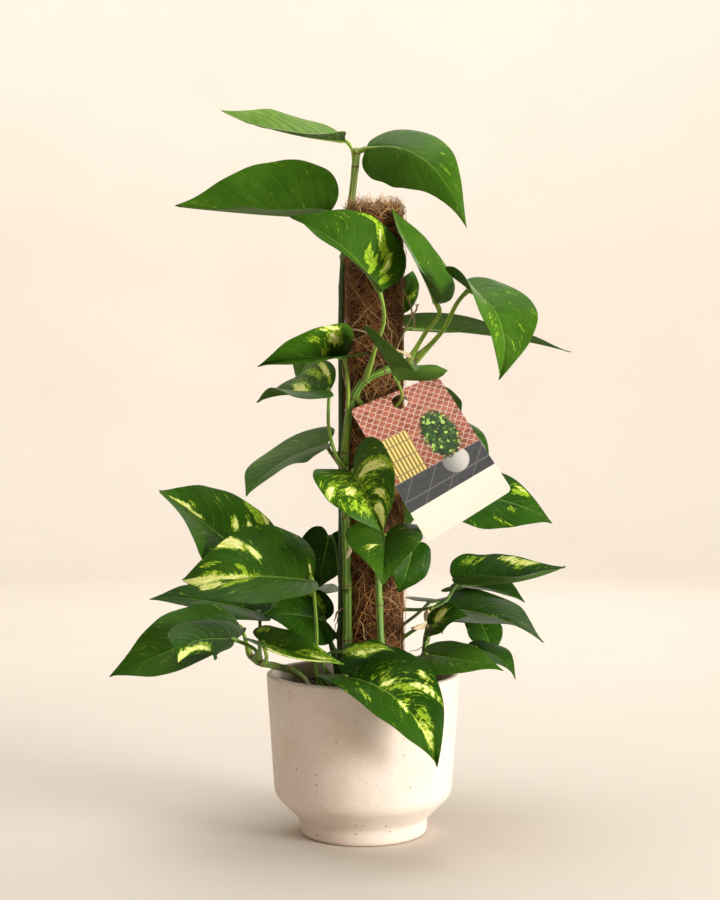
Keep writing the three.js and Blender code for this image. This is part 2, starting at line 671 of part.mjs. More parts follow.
function tagSolid() {
  const w = TAG_WIDTH;
  const l = TAG_LENGTH;
  const c = TAG_CORNER;
  const shape = new THREE.Shape();
  shape.moveTo(c, 0);
  shape.lineTo(w - c, 0);
  shape.absarc(w - c, c, c, -Math.PI / 2, 0, false);
  shape.lineTo(w, l - c);
  shape.absarc(w - c, l - c, c, 0, Math.PI / 2, false);
  shape.lineTo(c, l);
  shape.absarc(c, l - c, c, Math.PI / 2, Math.PI, false);
  shape.lineTo(0, c);
  shape.absarc(c, c, c, Math.PI, 1.5 * Math.PI, false);
  const hole = new THREE.Path();
  hole.absarc(w / 2, TAG_HOLE_FROM_TOP, TAG_HOLE, 0, 2 * Math.PI, true);
  shape.holes.push(hole);
  const flat = new THREE.ExtrudeGeometry(shape, { depth: 1, bevelEnabled: false, curveSegments: 5 });
  const across = tagPoint(w, l / 2).sub(tagPoint(0, l / 2));
  const down = tagPoint(w / 2, l).sub(tagPoint(w / 2, 0));
  const back = across.cross(down).normalize();
  const at = flat.attributes.position;
  for (let i = 0; i < at.count; i++) {
    const point = tagPoint(at.getX(i), at.getY(i)).addScaledVector(back, at.getZ(i) * TAG_THICKNESS);
    at.setXYZ(i, point.x, point.y, point.z);
  }
  return solidOf(flat);
}

// ---- Assembly ----
const STONEWARE = 0xd9cabb;
const PEAT = 0x2c2018;
const PINE = 0xb9925e;
const COIR = 0x6b3f22;
const STEM = 0x4f7d27;
const LEAF = 0x24591c;
const TWINE = 0xc9b07a;
const CARD = 0xefe9d2;

const stake = upright(STAKE_RADIUS, STAKE_FOOT, STAKE_TOP, 16);
const stakeHole = solidOf(upright(STAKE_RADIUS + GAP, STAKE_FOOT - GAP, SOIL_TOP + 20, 16));
const sleeveHole = solidOf(upright(COIR_RADIUS + 0.7 + GAP, COIR_FOOT - GAP, SOIL_TOP + 20, 20));
const vineHoles = Object.values(VINES).map((vine) => vineSolid({ ...vine, roots: [] }, GAP));

add("pot", potGeometry(), STONEWARE, 0.75);
add("soil", geometryOf(soilSolid([stakeHole, sleeveHole, ...vineHoles])), PEAT, 0.95);
add("pole_stake", stake, PINE, 0.8);
add("coir_pole", geometryOf(coirSolid()), COIR, 0.95);
for (const [name, vine] of Object.entries(VINES)) {
  add("vine_" + name, geometryOf(vineSolid(vine)), STEM, 0.5);
}
for (const [name, values] of Object.entries(LEAVES)) {
  add("leaf_" + name, geometryOf(leafSolid({ ...USUAL, ...values })), LEAF, 0.35);
}
add("twine_tie", geometryOf(tieSolid()), TWINE, 0.9);
add("plant_tag", geometryOf(tagSolid()), CARD, 0.6);

export default group;
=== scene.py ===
# A potted pothos on a coir pole, made for looks in the CAD model's own frame. Blender counts in
# metres; the sizes in this file are in millimetres, as in the CAD, and become metres as a mesh is made.
import math

import bmesh
import bpy
import numpy as np
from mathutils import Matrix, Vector, geometry, noise


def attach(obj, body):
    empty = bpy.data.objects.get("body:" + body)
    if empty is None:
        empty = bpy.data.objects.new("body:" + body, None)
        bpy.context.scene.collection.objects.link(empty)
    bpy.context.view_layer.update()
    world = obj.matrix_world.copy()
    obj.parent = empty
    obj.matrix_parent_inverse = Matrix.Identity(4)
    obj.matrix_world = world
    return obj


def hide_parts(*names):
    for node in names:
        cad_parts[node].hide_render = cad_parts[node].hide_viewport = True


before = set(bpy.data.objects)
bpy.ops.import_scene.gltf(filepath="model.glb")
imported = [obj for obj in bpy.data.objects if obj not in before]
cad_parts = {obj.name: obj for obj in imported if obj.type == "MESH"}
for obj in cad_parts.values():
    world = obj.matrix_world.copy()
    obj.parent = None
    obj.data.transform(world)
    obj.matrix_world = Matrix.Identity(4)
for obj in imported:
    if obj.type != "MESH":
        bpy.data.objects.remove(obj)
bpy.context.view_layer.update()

# ---- Camera ----
# Level, straight in front of the plant, at 1.17 m from the pole and just over half its height.
camera = bpy.data.objects.new("camera", bpy.data.cameras.new("camera"))
camera.data.sensor_width = 36
camera.data.lens = 56.28
camera.location = (-0.0025, -1.168, 0.315)
camera.rotation_euler = (math.radians(90), 0, 0)
bpy.context.scene.collection.objects.link(camera)
bpy.context.scene.camera = camera
bpy.context.scene.view_settings.view_transform = "Standard"

# ---- Stage ----
# A round cove of pale plaster, whose floor turns up into a wall all round, under soft lamps: a strong
# one low at the right front, a faint one at the left, one overhead, one behind the plant and a wide
# one that washes the wall.
MM = 0.001
COVE_FLOOR = -0.2
COVE_FLAT, COVE_BEND, COVE_TOP = 2400, 900, 4200


class Net:
    """Writes one node tree: a call adds a node, feeds its inputs and gives back an output."""

    def __init__(self, tree):
        self.tree = tree

    def add(self, kind, inputs=None, **settings):
        node = self.tree.nodes.new(kind)
        for name, value in settings.items():
            setattr(node, name, value)
        for key, value in (inputs or {}).items():
            if isinstance(value, bpy.types.NodeSocket):
                self.tree.links.new(value, node.inputs[key])
            elif value is not None:
                node.inputs[key].default_value = value
        return node

    def math(self, operation, *values, clamp=False):
        values = dict(enumerate(values))
        return self.add("ShaderNodeMath", values, operation=operation, use_clamp=clamp).outputs[0]

    def plus(self, a, b):
        return self.math("ADD", a, b)

    def minus(self, a, b):
        return self.math("SUBTRACT", a, b)

    def times(self, a, b, clamp=False):
        return self.math("MULTIPLY", a, b, clamp=clamp)

    def distance(self, x, y):
        return self.math("SQRT", self.plus(self.times(x, x), self.times(y, y)))

    def vector(self, operation, a, b):
        key = 3 if operation == "SCALE" else 1
        return self.add("ShaderNodeVectorMath", {0: a, key: b}, operation=operation).outputs[0]

    def join(self, x, y, z):
        return self.add("ShaderNodeCombineXYZ", {0: x, 1: y, 2: z}).outputs[0]

    def split(self, vector):
        return self.add("ShaderNodeSeparateXYZ", {0: vector}).outputs

    def noise(self, vector, scale, detail=2.0, roughness=0.5):
        inputs = {"Vector": vector, "Scale": scale, "Detail": detail, "Roughness": roughness}
        return self.add("ShaderNodeTexNoise", inputs).outputs["Fac"]

    def step(self, value, low, high, to_low=0.0, to_high=1.0):
        """A smooth step from to_low to to_high as value goes from low to high."""
        inputs = {0: value, 1: low, 2: high, 3: to_low, 4: to_high}
        return self.add("ShaderNodeMapRange", inputs, interpolation_type="SMOOTHSTEP").outputs[0]

    def mix(self, factor, a, b):
        """The colour a where factor is 0 and b where it is 1."""
        a, b = [(*c, 1) if isinstance(c, tuple) else c for c in (a, b)]
        return self.add("ShaderNodeMix", {0: factor, 6: a, 7: b}, data_type="RGBA").outputs[2]

    def wash(self, colour, mask, amount, over):
        """The colour with another over it, as far as amount where the mask is full."""
        return self.mix(self.times(mask, amount), colour, over)

    def bump(self, height, strength, distance):
        inputs = {"Height": height, "Strength": strength, "Distance": distance}
        return self.add("ShaderNodeBump", inputs).outputs[0]

    def group(self, tree, **inputs):
        return self.add("ShaderNodeGroup", inputs, node_tree=tree).outputs

    def attribute(self, name):
        return self.add("ShaderNodeAttribute", attribute_name=name).outputs

    def place(self):
        return self.add("ShaderNodeTexCoord").outputs["Object"]


def new_material(name, **plain):
    """A material with one Principled shader, whose plain values are set on its own sockets."""
    material = bpy.data.materials.new(name)
    material.use_nodes = True
    material.node_tree.nodes.clear()
    net = Net(material.node_tree)
    shader = net.add("ShaderNodeBsdfPrincipled", {k.replace("_", " "): v for k, v in plain.items()})
    net.add("ShaderNodeOutputMaterial", {0: shader.outputs[0]})
    return material, net, shader


def feed(net, shader, **inputs):
    for key, value in inputs.items():
        net.tree.links.new(value, shader.inputs[key.replace("_", " ")])


def new_group(name, inputs, outputs):
    """An empty shader node group; inputs and outputs map a socket's name to (kind, usual value)."""
    tree = bpy.data.node_groups.new(name, "ShaderNodeTree")
    for side, sockets in (("INPUT", inputs), ("OUTPUT", outputs)):
        for socket, (kind, usual) in sockets.items():
            made = tree.interface.new_socket(socket, in_out=side, socket_type="NodeSocket" + kind)
            if usual is not None and side == "INPUT":
                made.default_value = usual
    return tree, Net(tree), tree.nodes.new("NodeGroupInput").outputs


def mottle_group():
    """Cloudy unevenness: a mask between two levels of layered noise, and the noise as a height."""
    tree, net, given = new_group(
        "mottle",
        {
            "Vector": ("Vector", None), "Scale": ("Float", 20.0), "Detail": ("Float", 4.0),
            "Low": ("Float", 0.35), "High": ("Float", 0.65),
        },
        {"Mask": ("Float", None), "Height": ("Float", None)},
    )
    layered = net.noise(given["Vector"], given["Scale"], given["Detail"], 0.6)
    mask = net.step(layered, given["Low"], given["High"])
    net.add("NodeGroupOutput", {0: mask, 1: layered})
    return tree


MOTTLE = mottle_group()


def add_object(name, points, faces, *materials, smooth=True):
    """An object of points in millimetres, with its place in its mesh."""
    mesh = bpy.data.meshes.new(name)
    mesh.from_pydata((np.asarray(points, float) * MM).tolist(), [], faces)
    for material in materials:
        mesh.materials.append(material)
    mesh.polygons.foreach_set("use_smooth", [smooth] * len(mesh.polygons))
    made = bpy.data.objects.new(name, mesh)
    bpy.context.scene.collection.objects.link(made)
    return made


def outward(piece):
    """Turns the faces of a closed mesh outwards."""
    shape = bmesh.new()
    shape.from_mesh(piece.data)
    bmesh.ops.recalc_face_normals(shape, faces=shape.faces)
    shape.to_mesh(piece.data)
    shape.free()
    return piece


def lathe(profile, segments, centre=(0.0, 0.0), ring=False):
    """Points and faces of a turned shape. Its (radius, height) profile runs from axis to axis, or
    closes on itself where ring is set."""
    points, faces, rows = [], [], []
    turns = np.arange(segments) * 2 * math.pi / segments
    for radius, height in profile:
        first = len(points)
        if radius == 0:
            points.append((centre[0], centre[1], height))
            rows.append([first])
            continue
        for turn in turns:
            x = centre[0] + radius * math.cos(turn)
            points.append((x, centre[1] + radius * math.sin(turn), height))
        rows.append(range(first, first + segments))
    for low, high in zip(rows, rows[1:] + rows[:1] if ring else rows[1:]):
        for i in range(segments):
            j = (i + 1) % segments
            corners = [low[i % len(low)], low[j % len(low)], high[j % len(high)], high[i % len(high)]]
            corners = list(dict.fromkeys(corners))
            if len(corners) > 2:
                faces.append(corners)
    return points, faces


def make_stage():
    material, net, shader = new_material("cove_plaster", Roughness=0.85, Specular_IOR_Level=0.2)
    cloud = net.group(MOTTLE, Vector=net.place(), Scale=1.2, Detail=3.0, Low=0.3, High=0.7)
    grain = net.noise(net.place(), 900.0, 2.0)
    colour = net.mix(cloud["Mask"], (0.600, 0.550, 0.490), (0.625, 0.575, 0.515))
    feed(net, shader, Base_Color=colour, Normal=net.bump(grain, 0.1, 0.0002))
    profile = [(radius, COVE_FLOOR) for radius in (0, 600, 1500, COVE_FLAT)]
    bends = 16
    for i in range(1, bends + 1):
        turn = i / bends * math.pi / 2
        profile.append((COVE_FLAT + COVE_BEND * math.sin(turn), COVE_BEND - COVE_BEND * math.cos(turn)))
    profile.append((COVE_FLAT + COVE_BEND, COVE_TOP))
    points, faces = lathe(profile, 96)
    add_object("cove", points, faces, material)

    lamps = [
        # name, place, aimed at, width, height, watts, colour
        ("key", (1.8, -1.2, 0.55), (0, 0, 0.22), 0.8, 0.8, 70, (1, 0.965, 0.93)),
        ("left", (-1.7, -1.2, 1.0), (0, 0, 0.3), 1.0, 1.4, 2, (1, 0.97, 0.93)),
        ("top", (-0.2, 0.1, 2.1), (0, 0, 0.3), 1.5, 1.5, 26, (1, 0.98, 0.95)),
        ("behind", (0.5, 1.9, 1.5), (0, 0, 0.35), 1.2, 1.2, 8, (1, 0.97, 0.92)),
        ("wall", (0, 1.3, 2.4), (0, 3.3, 0.9), 3.0, 1.0, 66, (1, 0.985, 0.96)),
    ]
    for name, place, target, width, height, watts, colour in lamps:
        lamp = bpy.data.lights.new(name, "AREA")
        lamp.shape = "RECTANGLE"
        lamp.size, lamp.size_y, lamp.energy, lamp.color = width, height, watts, colour
        held = bpy.data.objects.new(name, lamp)
        held.location = place
        held.rotation_euler = (Vector(place) - Vector(target)).to_track_quat("Z", "Y").to_euler()
        held.visible_camera = False
        bpy.context.scene.collection.objects.link(held)
    world = bpy.data.worlds.new("room")
    bpy.context.scene.world = world
    world.use_nodes = True
    background = world.node_tree.nodes["Background"]
    background.inputs[0].default_value = (1.0, 0.95, 0.88, 1)
    background.inputs[1].default_value = 0.36


make_stage()

# ---- Pot ----
# Thrown stoneware, matt and pale, with small iron specks that burnt through. A straight wall leans
# out a little from a softened chamfer; the foot is turned in below it, and the lip is rounded.
POT_CORNERS = [
    # radius, height, fillet
    (0, 0, 0), (52.5, 0, 2.6), (53.1, 12.5, 4.0), (73.2, 32.0, 6.5), (80.1, 131, 3.1), (73.6, 131, 3.1),
    (67, 39, 8), (50.5, 13, 5), (45, 10, 3), (0, 10, 0),
]
# The line just outside the inner wall, in metres: its radius at the foot, and how far it leans out.
INSIDE_RADIUS, INSIDE_LEAN = 0.0655, 0.0708


def rounded(corners, steps=6, longest=4.0):
    """A (radius, height) line through corners with a fillet each, with no step above longest."""
    line = []
    for i, (r, z, fillet) in enumerate(corners):
        here = np.array([r, z], float)
        if not fillet:
            line.append(here)
            continue
        before, after = (np.array(corners[k][:2], float) - here for k in (i - 1, i + 1))
        start = here + before / np.linalg.norm(before) * fillet
        end = here + after / np.linalg.norm(after) * fillet
        for k in range(steps + 1):
            s = k / steps
            line.append(start * (1 - s) ** 2 + here * 2 * s * (1 - s) + end * s * s)
    fine = [line[0]]
    for a, b in zip(line, line[1:]):
        parts = max(1, math.ceil(np.linalg.norm(b - a) / longest))
        fine += [a + (b - a) * (k + 1) / parts for k in range(parts)]
    return [tuple(p) for p in fine]


def speck_group():
    """Round specks: Share is how many of the cells of Scale hold one, and Size its radius in cells."""
    tree, net, given = new_group(
        "speck",
        {
            "Vector": ("Vector", None), "Scale": ("Float", 300.0), "Size": ("Float", 0.2),
            "Share": ("Float", 0.3),
        },
        {"Mask": ("Float", None)},
    )
    cells = net.add("ShaderNodeTexVoronoi", {"Vector": given["Vector"], "Scale": given["Scale"]})
    chance, size, _ = net.split(cells.outputs["Color"])
    radius = net.times(given["Size"], net.plus(size, 0.35))
    inside = net.step(net.minus(radius, cells.outputs["Distance"]), 0.0, 0.06)
    chosen = net.math("LESS_THAN", chance, given["Share"])
    net.add("NodeGroupOutput", {0: net.times(inside, chosen)})
    return tree


SPECK = speck_group()


def make_pot():
    material, net, shader = new_material("stoneware", Specular_IOR_Level=0.35)
    place = net.place()
    ripple = net.add("ShaderNodeTexNoise", {"Vector": place, "Scale": 160.0}).outputs["Color"]
    bent = net.vector("ADD", place, net.vector("SCALE", ripple, 0.0012))
    cloud = net.group(MOTTLE, Vector=place, Scale=26.0, Detail=5.0, Low=0.3, High=0.7)
    grain = net.group(MOTTLE, Vector=place, Scale=700.0, Detail=3.0, Low=0.35, High=0.7)
    colour = net.mix(cloud["Mask"], (0.68, 0.585, 0.505), (0.75, 0.67, 0.60))
    colour = net.wash(colour, grain["Mask"], 0.35, (0.60, 0.47, 0.37))
    fine = net.group(SPECK, Vector=bent, Scale=620.0, Size=0.24, Share=0.16)["Mask"]
    usual = net.group(SPECK, Vector=bent, Scale=190.0, Size=0.18, Share=0.18)["Mask"]
    large = net.group(SPECK, Vector=bent, Scale=62.0, Size=0.13, Share=0.30)["Mask"]
    colour = net.wash(colour, fine, 0.55, (0.36, 0.23, 0.15))
    colour = net.wash(colour, usual, 0.62, (0.27, 0.13, 0.07))
    colour = net.wash(colour, large, 0.60, (0.40, 0.20, 0.11))
    # The bare clay shows warmer on the foot. The inside wall is washed a little darker as painted shade, and
    # darker still towards the soil.
    x, y, z = net.split(place)
    foot = net.step(z, 0.004, 0.0, 0.0, 0.5)
    colour = net.mix(foot, colour, (0.50, 0.36, 0.25))
    across = net.distance(x, y)
    wall = net.plus(INSIDE_RADIUS, net.times(z, INSIDE_LEAN))
    inner = net.step(net.minus(wall, across), 0.0, 0.0006)
    inner = net.times(inner, net.step(z, 0.0385, 0.0395))
    # Darker towards the soil, fading out up the inside wall.
    low = net.step(net.plus(z, net.times(cloud["Height"], 0.012)), 0.134, 0.118)
    darker_to_soil = net.times(net.times(inner, low), 0.75)
    # Painted shade: the inside wall a little darker all over.
    colour = net.wash(colour, inner, 0.35, (0.52, 0.41, 0.32))
    colour = net.mix(darker_to_soil, colour, (0.22, 0.15, 0.10))
    specks = net.plus(net.plus(fine, usual), large)
    height = net.minus(grain["Height"], net.times(specks, 0.5))
    rough = net.step(grain["Height"], 0.3, 0.7, 0.58, 0.78)
    feed(net, shader, Base_Color=colour, Roughness=rough, Normal=net.bump(height, 0.22, 0.00025))
    pot = outward(add_object("pot_stoneware", *lathe(rounded(POT_CORNERS), 160), material))
    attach(pot, "root")
    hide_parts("pot")


make_pot()

# ---- Soil ----
# Dark, damp potting mix of peat and bark that fills the pot to 17 mm below the lip. Its top is
# lumpy, with loose crumbs, bark chips and a few grains of pale perlite.
SOIL_TOP = 114
SOIL_RADIUS = 71.7
SOIL_SIDE = [(0, 10.6), (45, 10.6), (50, 13.6), (66.4, 39.3), (SOIL_RADIUS, 112)]


def soil_height(x, y):
    """The lumpy top: a low dome with broad lumps, calm at the pole and at the wall."""
    share = math.hypot(x, y) / 72
    angle = math.atan2(y, x)
    ring = 5 * share
    lump = 2.2 * math.sin(3 * angle + 1.7 * ring) + 1.3 * math.cos(7 * angle - 2.3 * ring)
    calm = min(1, share * 4) * min(1, max(0, (1 - share) * 5))
    rough = noise.fractal(Vector((x, y, 3)) / 14, 0.7, 2.1, 4) * 2.0
    return SOIL_TOP + 3 * (1 - share) + lump * calm + rough * (0.4 + 0.6 * calm)


def converted(name, host, tree, settings):
    """The evaluated result of a Geometry Nodes tree on a host object, as a plain mesh object."""
    modifier = host.modifiers.new("made", "NODES")
    modifier.node_group = tree
    sockets = {s.name: s.identifier for s in tree.interface.items_tree if s.in_out == "INPUT"}
    for key, value in settings.items():
        modifier[sockets[key]] = value
    bpy.context.view_layer.update()
    evaluated = host.evaluated_get(bpy.context.evaluated_depsgraph_get())
    mesh = bpy.data.meshes.new_from_object(evaluated)
    mesh.name = name
    made = bpy.data.objects.new(name, mesh)
    bpy.context.scene.collection.objects.link(made)
    host.modifiers.remove(modifier)
    return made


def new_nodes(name, inputs, mesh_in=False):
    """An empty Geometry Nodes tree with named inputs: a socket's name to (kind, usual value)."""
    tree = bpy.data.node_groups.new(name, "GeometryNodeTree")
    if mesh_in:
        tree.interface.new_socket("Mesh", in_out="INPUT", socket_type="NodeSocketGeometry")
    for socket, (kind, usual) in inputs.items():
        made = tree.interface.new_socket(socket, in_out="INPUT", socket_type="NodeSocket" + kind)
        if usual is not None:
            made.default_value = usual
    tree.interface.new_socket("Geometry", in_out="OUTPUT", socket_type="NodeSocketGeometry")
    return tree, Net(tree), tree.nodes.new("NodeGroupInput").outputs


def random_value(net, kind, low, high, seed):
    """A Random Value node: kind is FLOAT or FLOAT_VECTOR, and seed differs for each use."""
    first = 0 if kind == "FLOAT_VECTOR" else 2
    inputs = {first: low, first + 1: high, "Seed": seed}
    made = net.add("FunctionNodeRandomValue", inputs, data_type=kind)
    return made.outputs[0 if kind == "FLOAT_VECTOR" else 1]


def crumb_tree():
    """Lumps strewn on the upward faces of a mesh: flattened, turned and dented at random."""
    tree, net, given = new_nodes(
        "strewn_crumbs",
        {
            "Density": ("Float", 60000.0), "Smallest": ("Float", 0.0006), "Largest": ("Float", 0.002),
            "Flatness": ("Float", 0.7), "Seed": ("Int", 1), "Material": ("Material", None),
        },
        mesh_in=True,
    )
    seed = given["Seed"]
    up = net.split(net.add("GeometryNodeInputNormal").outputs[0])[2]
    top = net.add("FunctionNodeCompare", {0: up, 1: 0.5}, operation="GREATER_THAN").outputs[0]
    strewn = net.add(
        "GeometryNodeDistributePointsOnFaces",
        {"Mesh": given["Mesh"], "Selection": top, "Density": given["Density"], "Seed": seed},
    )
    lump = net.add("GeometryNodeMeshIcoSphere", {"Radius": 1.0, "Subdivisions": 2}).outputs[0]
    size = random_value(net, "FLOAT", given["Smallest"], given["Largest"], seed)
    squash = net.join(1.0, random_value(net, "FLOAT", 0.6, 1.4, net.plus(seed, 7)), given["Flatness"])
    turn = random_value(net, "FLOAT_VECTOR", (0, 0, 0), (6.28, 6.28, 6.28), net.plus(seed, 3))
    placed = net.add(
        "GeometryNodeInstanceOnPoints",
        {
            "Points": strewn.outputs["Points"], "Instance": lump, "Rotation": turn,
            "Scale": net.vector("SCALE", squash, size),
        },
    ).outputs[0]
    shade = random_value(net, "FLOAT", 0.0, 1.0, net.plus(seed, 11))
    marked = net.add(
        "GeometryNodeStoreNamedAttribute",
        {"Geometry": placed, "Name": "shade", "Value": shade},
        data_type="FLOAT", domain="INSTANCE",
    ).outputs[0]
    real = net.add("GeometryNodeRealizeInstances", {"Geometry": marked}).outputs[0]
    place = net.add("GeometryNodeInputPosition").outputs[0]
    dent = net.add("ShaderNodeTexNoise", {"Vector": place, "Scale": 900.0}).outputs["Color"]
    offset = net.vector("SCALE", net.vector("SUBTRACT", dent, (0.5, 0.5, 0.5)), 0.0012)
    dented = net.add("GeometryNodeSetPosition", {"Geometry": real, "Offset": offset}).outputs[0]
    done = net.add("GeometryNodeSetMaterial", {"Geometry": dented, "Material": given["Material"]})
    net.add("NodeGroupOutput", {0: done.outputs[0]})
    return tree


def make_soil():
    material, net, shader = new_material("potting_mix", Specular_IOR_Level=0.25)
    place = net.place()
    shade = net.attribute("shade")["Fac"]
    cloud = net.group(MOTTLE, Vector=place, Scale=110.0, Detail=5.0, Low=0.35, High=0.65)
    grain = net.group(MOTTLE, Vector=place, Scale=900.0, Detail=4.0, Low=0.3, High=0.7)
    colour = net.mix(cloud["Mask"], (0.012, 0.008, 0.005), (0.038, 0.024, 0.014))
    colour = net.wash(colour, grain["Mask"], 0.5, (0.07, 0.045, 0.026))
    colour = net.mix(net.step(shade, 0.72, 0.9), colour, (0.12, 0.066, 0.034))
    colour = net.mix(net.step(shade, 0.965, 0.97), colour, (0.62, 0.60, 0.55))
    rough = net.step(cloud["Height"], 0.3, 0.7, 0.72, 0.95)
    feed(net, shader, Base_Color=colour, Roughness=rough, Normal=net.bump(grain["Height"], 0.7, 0.0008))
    rings, segments = 46, 150
    profile = SOIL_SIDE + [(SOIL_RADIUS * (1 - i / rings), SOIL_TOP) for i in range(rings + 1)]
    points, faces = lathe(profile, segments)
    for i, (x, y, z) in enumerate(points):
        if z == SOIL_TOP:
            points[i] = (x, y, soil_height(x, y))
    bed = outward(add_object("soil_bed", points, faces, material))
    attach(bed, "root")
    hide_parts("soil")
    strewn = {"Density": 90000.0, "Smallest": 0.0005, "Largest": 0.0021, "Flatness": 0.65, "Seed": 4}
    crumbs = converted("soil_crumbs", bed, crumb_tree(), {**strewn, "Material": material})
    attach(crumbs, "root")


make_soil()

# ---- Coir pole ----
# A turned softwood stake, wound with a thick sleeve of coconut fibre. The fibres lie every way over
# one another, reddish brown with golden strays, and stand up frayed round the sleeve's top.
POLE_AXIS = (9.5, 6.0)
STAKE_RADIUS = 9
MAT_RADIUS, COIR_BORE = 22.9, 9.4
COIR_FOOT, COIR_TOP = 98, 513


def gathered(name, tree, settings):
    """What a Geometry Nodes tree makes by itself, on an empty mesh."""
    host = add_object(name + "_host", [], [])
    made = converted(name, host, tree, settings)
    bpy.data.objects.remove(host)
    return made


def store(piece, name, kind, values):
    """Gives a piece a point attribute, of kind FLOAT or FLOAT_VECTOR."""
    data = piece.data.attributes.new(name, kind, "POINT").data
    data.foreach_set("value" if kind == "FLOAT" else "vector", np.ravel(values))


def make_stake():
    material, net, shader = new_material("softwood", Specular_IOR_Level=0.3)
    x, y, z = net.split(net.place())
    grain = net.join(x, y, net.times(z, 0.06))
    rings = net.group(MOTTLE, Vector=grain, Scale=420.0, Detail=4.0, Low=0.35, High=0.65)
    colour = net.mix(rings["Mask"], (0.50, 0.33, 0.17), (0.30, 0.17, 0.075))
    feed(net, shader, Base_Color=colour, Roughness=net.step(rings["Height"], 0.3, 0.7, 0.6, 0.8))
    feed(net, shader, Normal=net.bump(rings["Height"], 0.3, 0.0003))
    corners = [(0, 24, 0), (6, 24, 0), (STAKE_RADIUS, 34, 2), (STAKE_RADIUS, 503, 1), (0, 503, 0)]
    stake = outward(add_object("wood_stake", *lathe(rounded(corners), 40, POLE_AXIS), material))
    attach(stake, "root")
    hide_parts("pole_stake")


def make_sleeve():
    material, net, shader = new_material("coir_mat", Roughness=0.9, Specular_IOR_Level=0.15)
    wound = net.split(net.attribute("wound")["Vector"])
    tone = None
    for lean, seed in ((0.5, 1.0), (-0.7, 2.0), (0.1, 3.0)):
        along = net.plus(wound[0], net.times(wound[1], lean))
        over = net.minus(wound[1], net.times(wound[0], lean))
        strands = net.noise(net.join(net.times(along, 0.12), over, seed), 1500.0, 3.0, 0.6)
        tone = strands if tone is None else net.math("MAXIMUM", tone, strands)
    cloud = net.group(MOTTLE, Vector=net.place(), Scale=60.0, Detail=4.0, Low=0.35, High=0.7)
    colour = net.mix(net.step(tone, 0.5, 0.8), (0.020, 0.010, 0.004), (0.16, 0.072, 0.030))
    colour = net.wash(colour, cloud["Mask"], 0.6, (0.050, 0.024, 0.010))
    feed(net, shader, Base_Color=colour, Normal=net.bump(tone, 0.9, 0.0012))
    outer = [(MAT_RADIUS, COIR_FOOT + i * 3.0) for i in range(138)]
    profile = [*outer, (21.5, COIR_TOP - 1), (17, COIR_TOP + 1), (12, COIR_TOP)]
    profile += [(COIR_BORE, COIR_TOP - 3), (COIR_BORE, COIR_FOOT)]
    points, faces = lathe(profile, 96, POLE_AXIS, ring=True)
    wound_at = []
    for i, (x, y, z) in enumerate(points):
        dx, dy = x - POLE_AXIS[0], y - POLE_AXIS[1]
        r, angle = math.hypot(dx, dy), math.atan2(dy, dx)
        wound_at.append((angle * 0.024, z * MM, 0))
        if r < 12:  # the bore round the stake stays round
            continue
        winding = 0.5 * math.sin(2 * angle + z / 9) + 0.35 * math.sin(5 * angle - z / 17)
        rough = noise.fractal(Vector((x, y, z)) / 9, 0.8, 2.2, 4) * 0.9
        points[i] = (x + dx / r * (winding + rough), y + dy / r * (winding + rough), z + rough)
    sleeve = outward(add_object("coir_sleeve", points, faces, material))
    store(sleeve, "wound", "FLOAT_VECTOR", wound_at)
    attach(sleeve, "root")
    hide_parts("coir_pole")


def coir_material(name, dark, middle, light):
    material, net, shader = new_material(name, Roughness=0.62, Specular_IOR_Level=0.35)
    shade = net.attribute("shade")["Fac"]
    cloud = net.group(MOTTLE, Vector=net.place(), Scale=140.0, Detail=3.0, Low=0.3, High=0.7)
    colour = net.mix(net.step(shade, 0.0, 0.5), dark, middle)
    colour = net.mix(net.step(shade, 0.4, 0.85), colour, light)
    colour = net.mix(net.step(shade, 0.92, 0.97), colour, (0.72, 0.50, 0.23))
    colour = net.wash(colour, cloud["Mask"], 0.35, (0.08, 0.035, 0.013))
    grain = net.noise(net.place(), 2500.0, 2.0)
    feed(net, shader, Base_Color=colour, Normal=net.bump(grain, 0.2, 0.0001))
    return material


def fibre_curves(net, points, length, seed, count, rest):
    """Straight lines of random length on points, marked with a shade and realised as curves."""
    line = net.add("GeometryNodeCurvePrimitiveLine", {"Start": (-0.5, 0, 0), "End": (0.5, 0, 0)})
    fine = net.add("GeometryNodeResampleCurve", {"Curve": line.outputs[0], "Count": count})
    turn = random_value(net, "FLOAT_VECTOR", *rest, net.plus(seed, 2))
    long = random_value(net, "FLOAT", 0.45, 1.0, net.plus(seed, 5))
    size = net.join(net.times(length, long), 1.0, 1.0)
    placed = net.add(
        "GeometryNodeInstanceOnPoints",
        {"Points": points, "Instance": fine.outputs[0], "Rotation": turn, "Scale": size},
    ).outputs[0]
    for name, kind, low, high, extra in (
        ("shade", "FLOAT", 0.0, 1.0, 8), ("kink", "FLOAT_VECTOR", (0, 0, 0), (9, 9, 9), 9),
    ):
        value = random_value(net, kind, low, high, net.plus(seed, extra))
        placed = net.add(
            "GeometryNodeStoreNamedAttribute",
            {"Geometry": placed, "Name": name, "Value": value},
            data_type=kind, domain="INSTANCE",
        ).outputs[0]
    return net.add("GeometryNodeRealizeInstances", {"Geometry": placed}).outputs[0]


def named(net, name, kind):
    made = net.add("GeometryNodeInputNamedAttribute", {"Name": name}, data_type=kind)
    return made.outputs["Attribute"]


def kinked(net, curves, scale, reach):
    """Bends every fibre with a noise of its own; reach is how far each way."""
    place = net.add("GeometryNodeInputPosition").outputs[0]
    own = net.vector("ADD", place, named(net, "kink", "FLOAT_VECTOR"))
    wander = net.add("ShaderNodeTexNoise", {"Vector": own, "Scale": scale, "Detail": 1.5}).outputs["Color"]
    offset = net.vector("MULTIPLY", net.vector("SUBTRACT", wander, (0.5, 0.5, 0.5)), reach)
    return net.add("GeometryNodeSetPosition", {"Geometry": curves, "Offset": offset}).outputs[0]


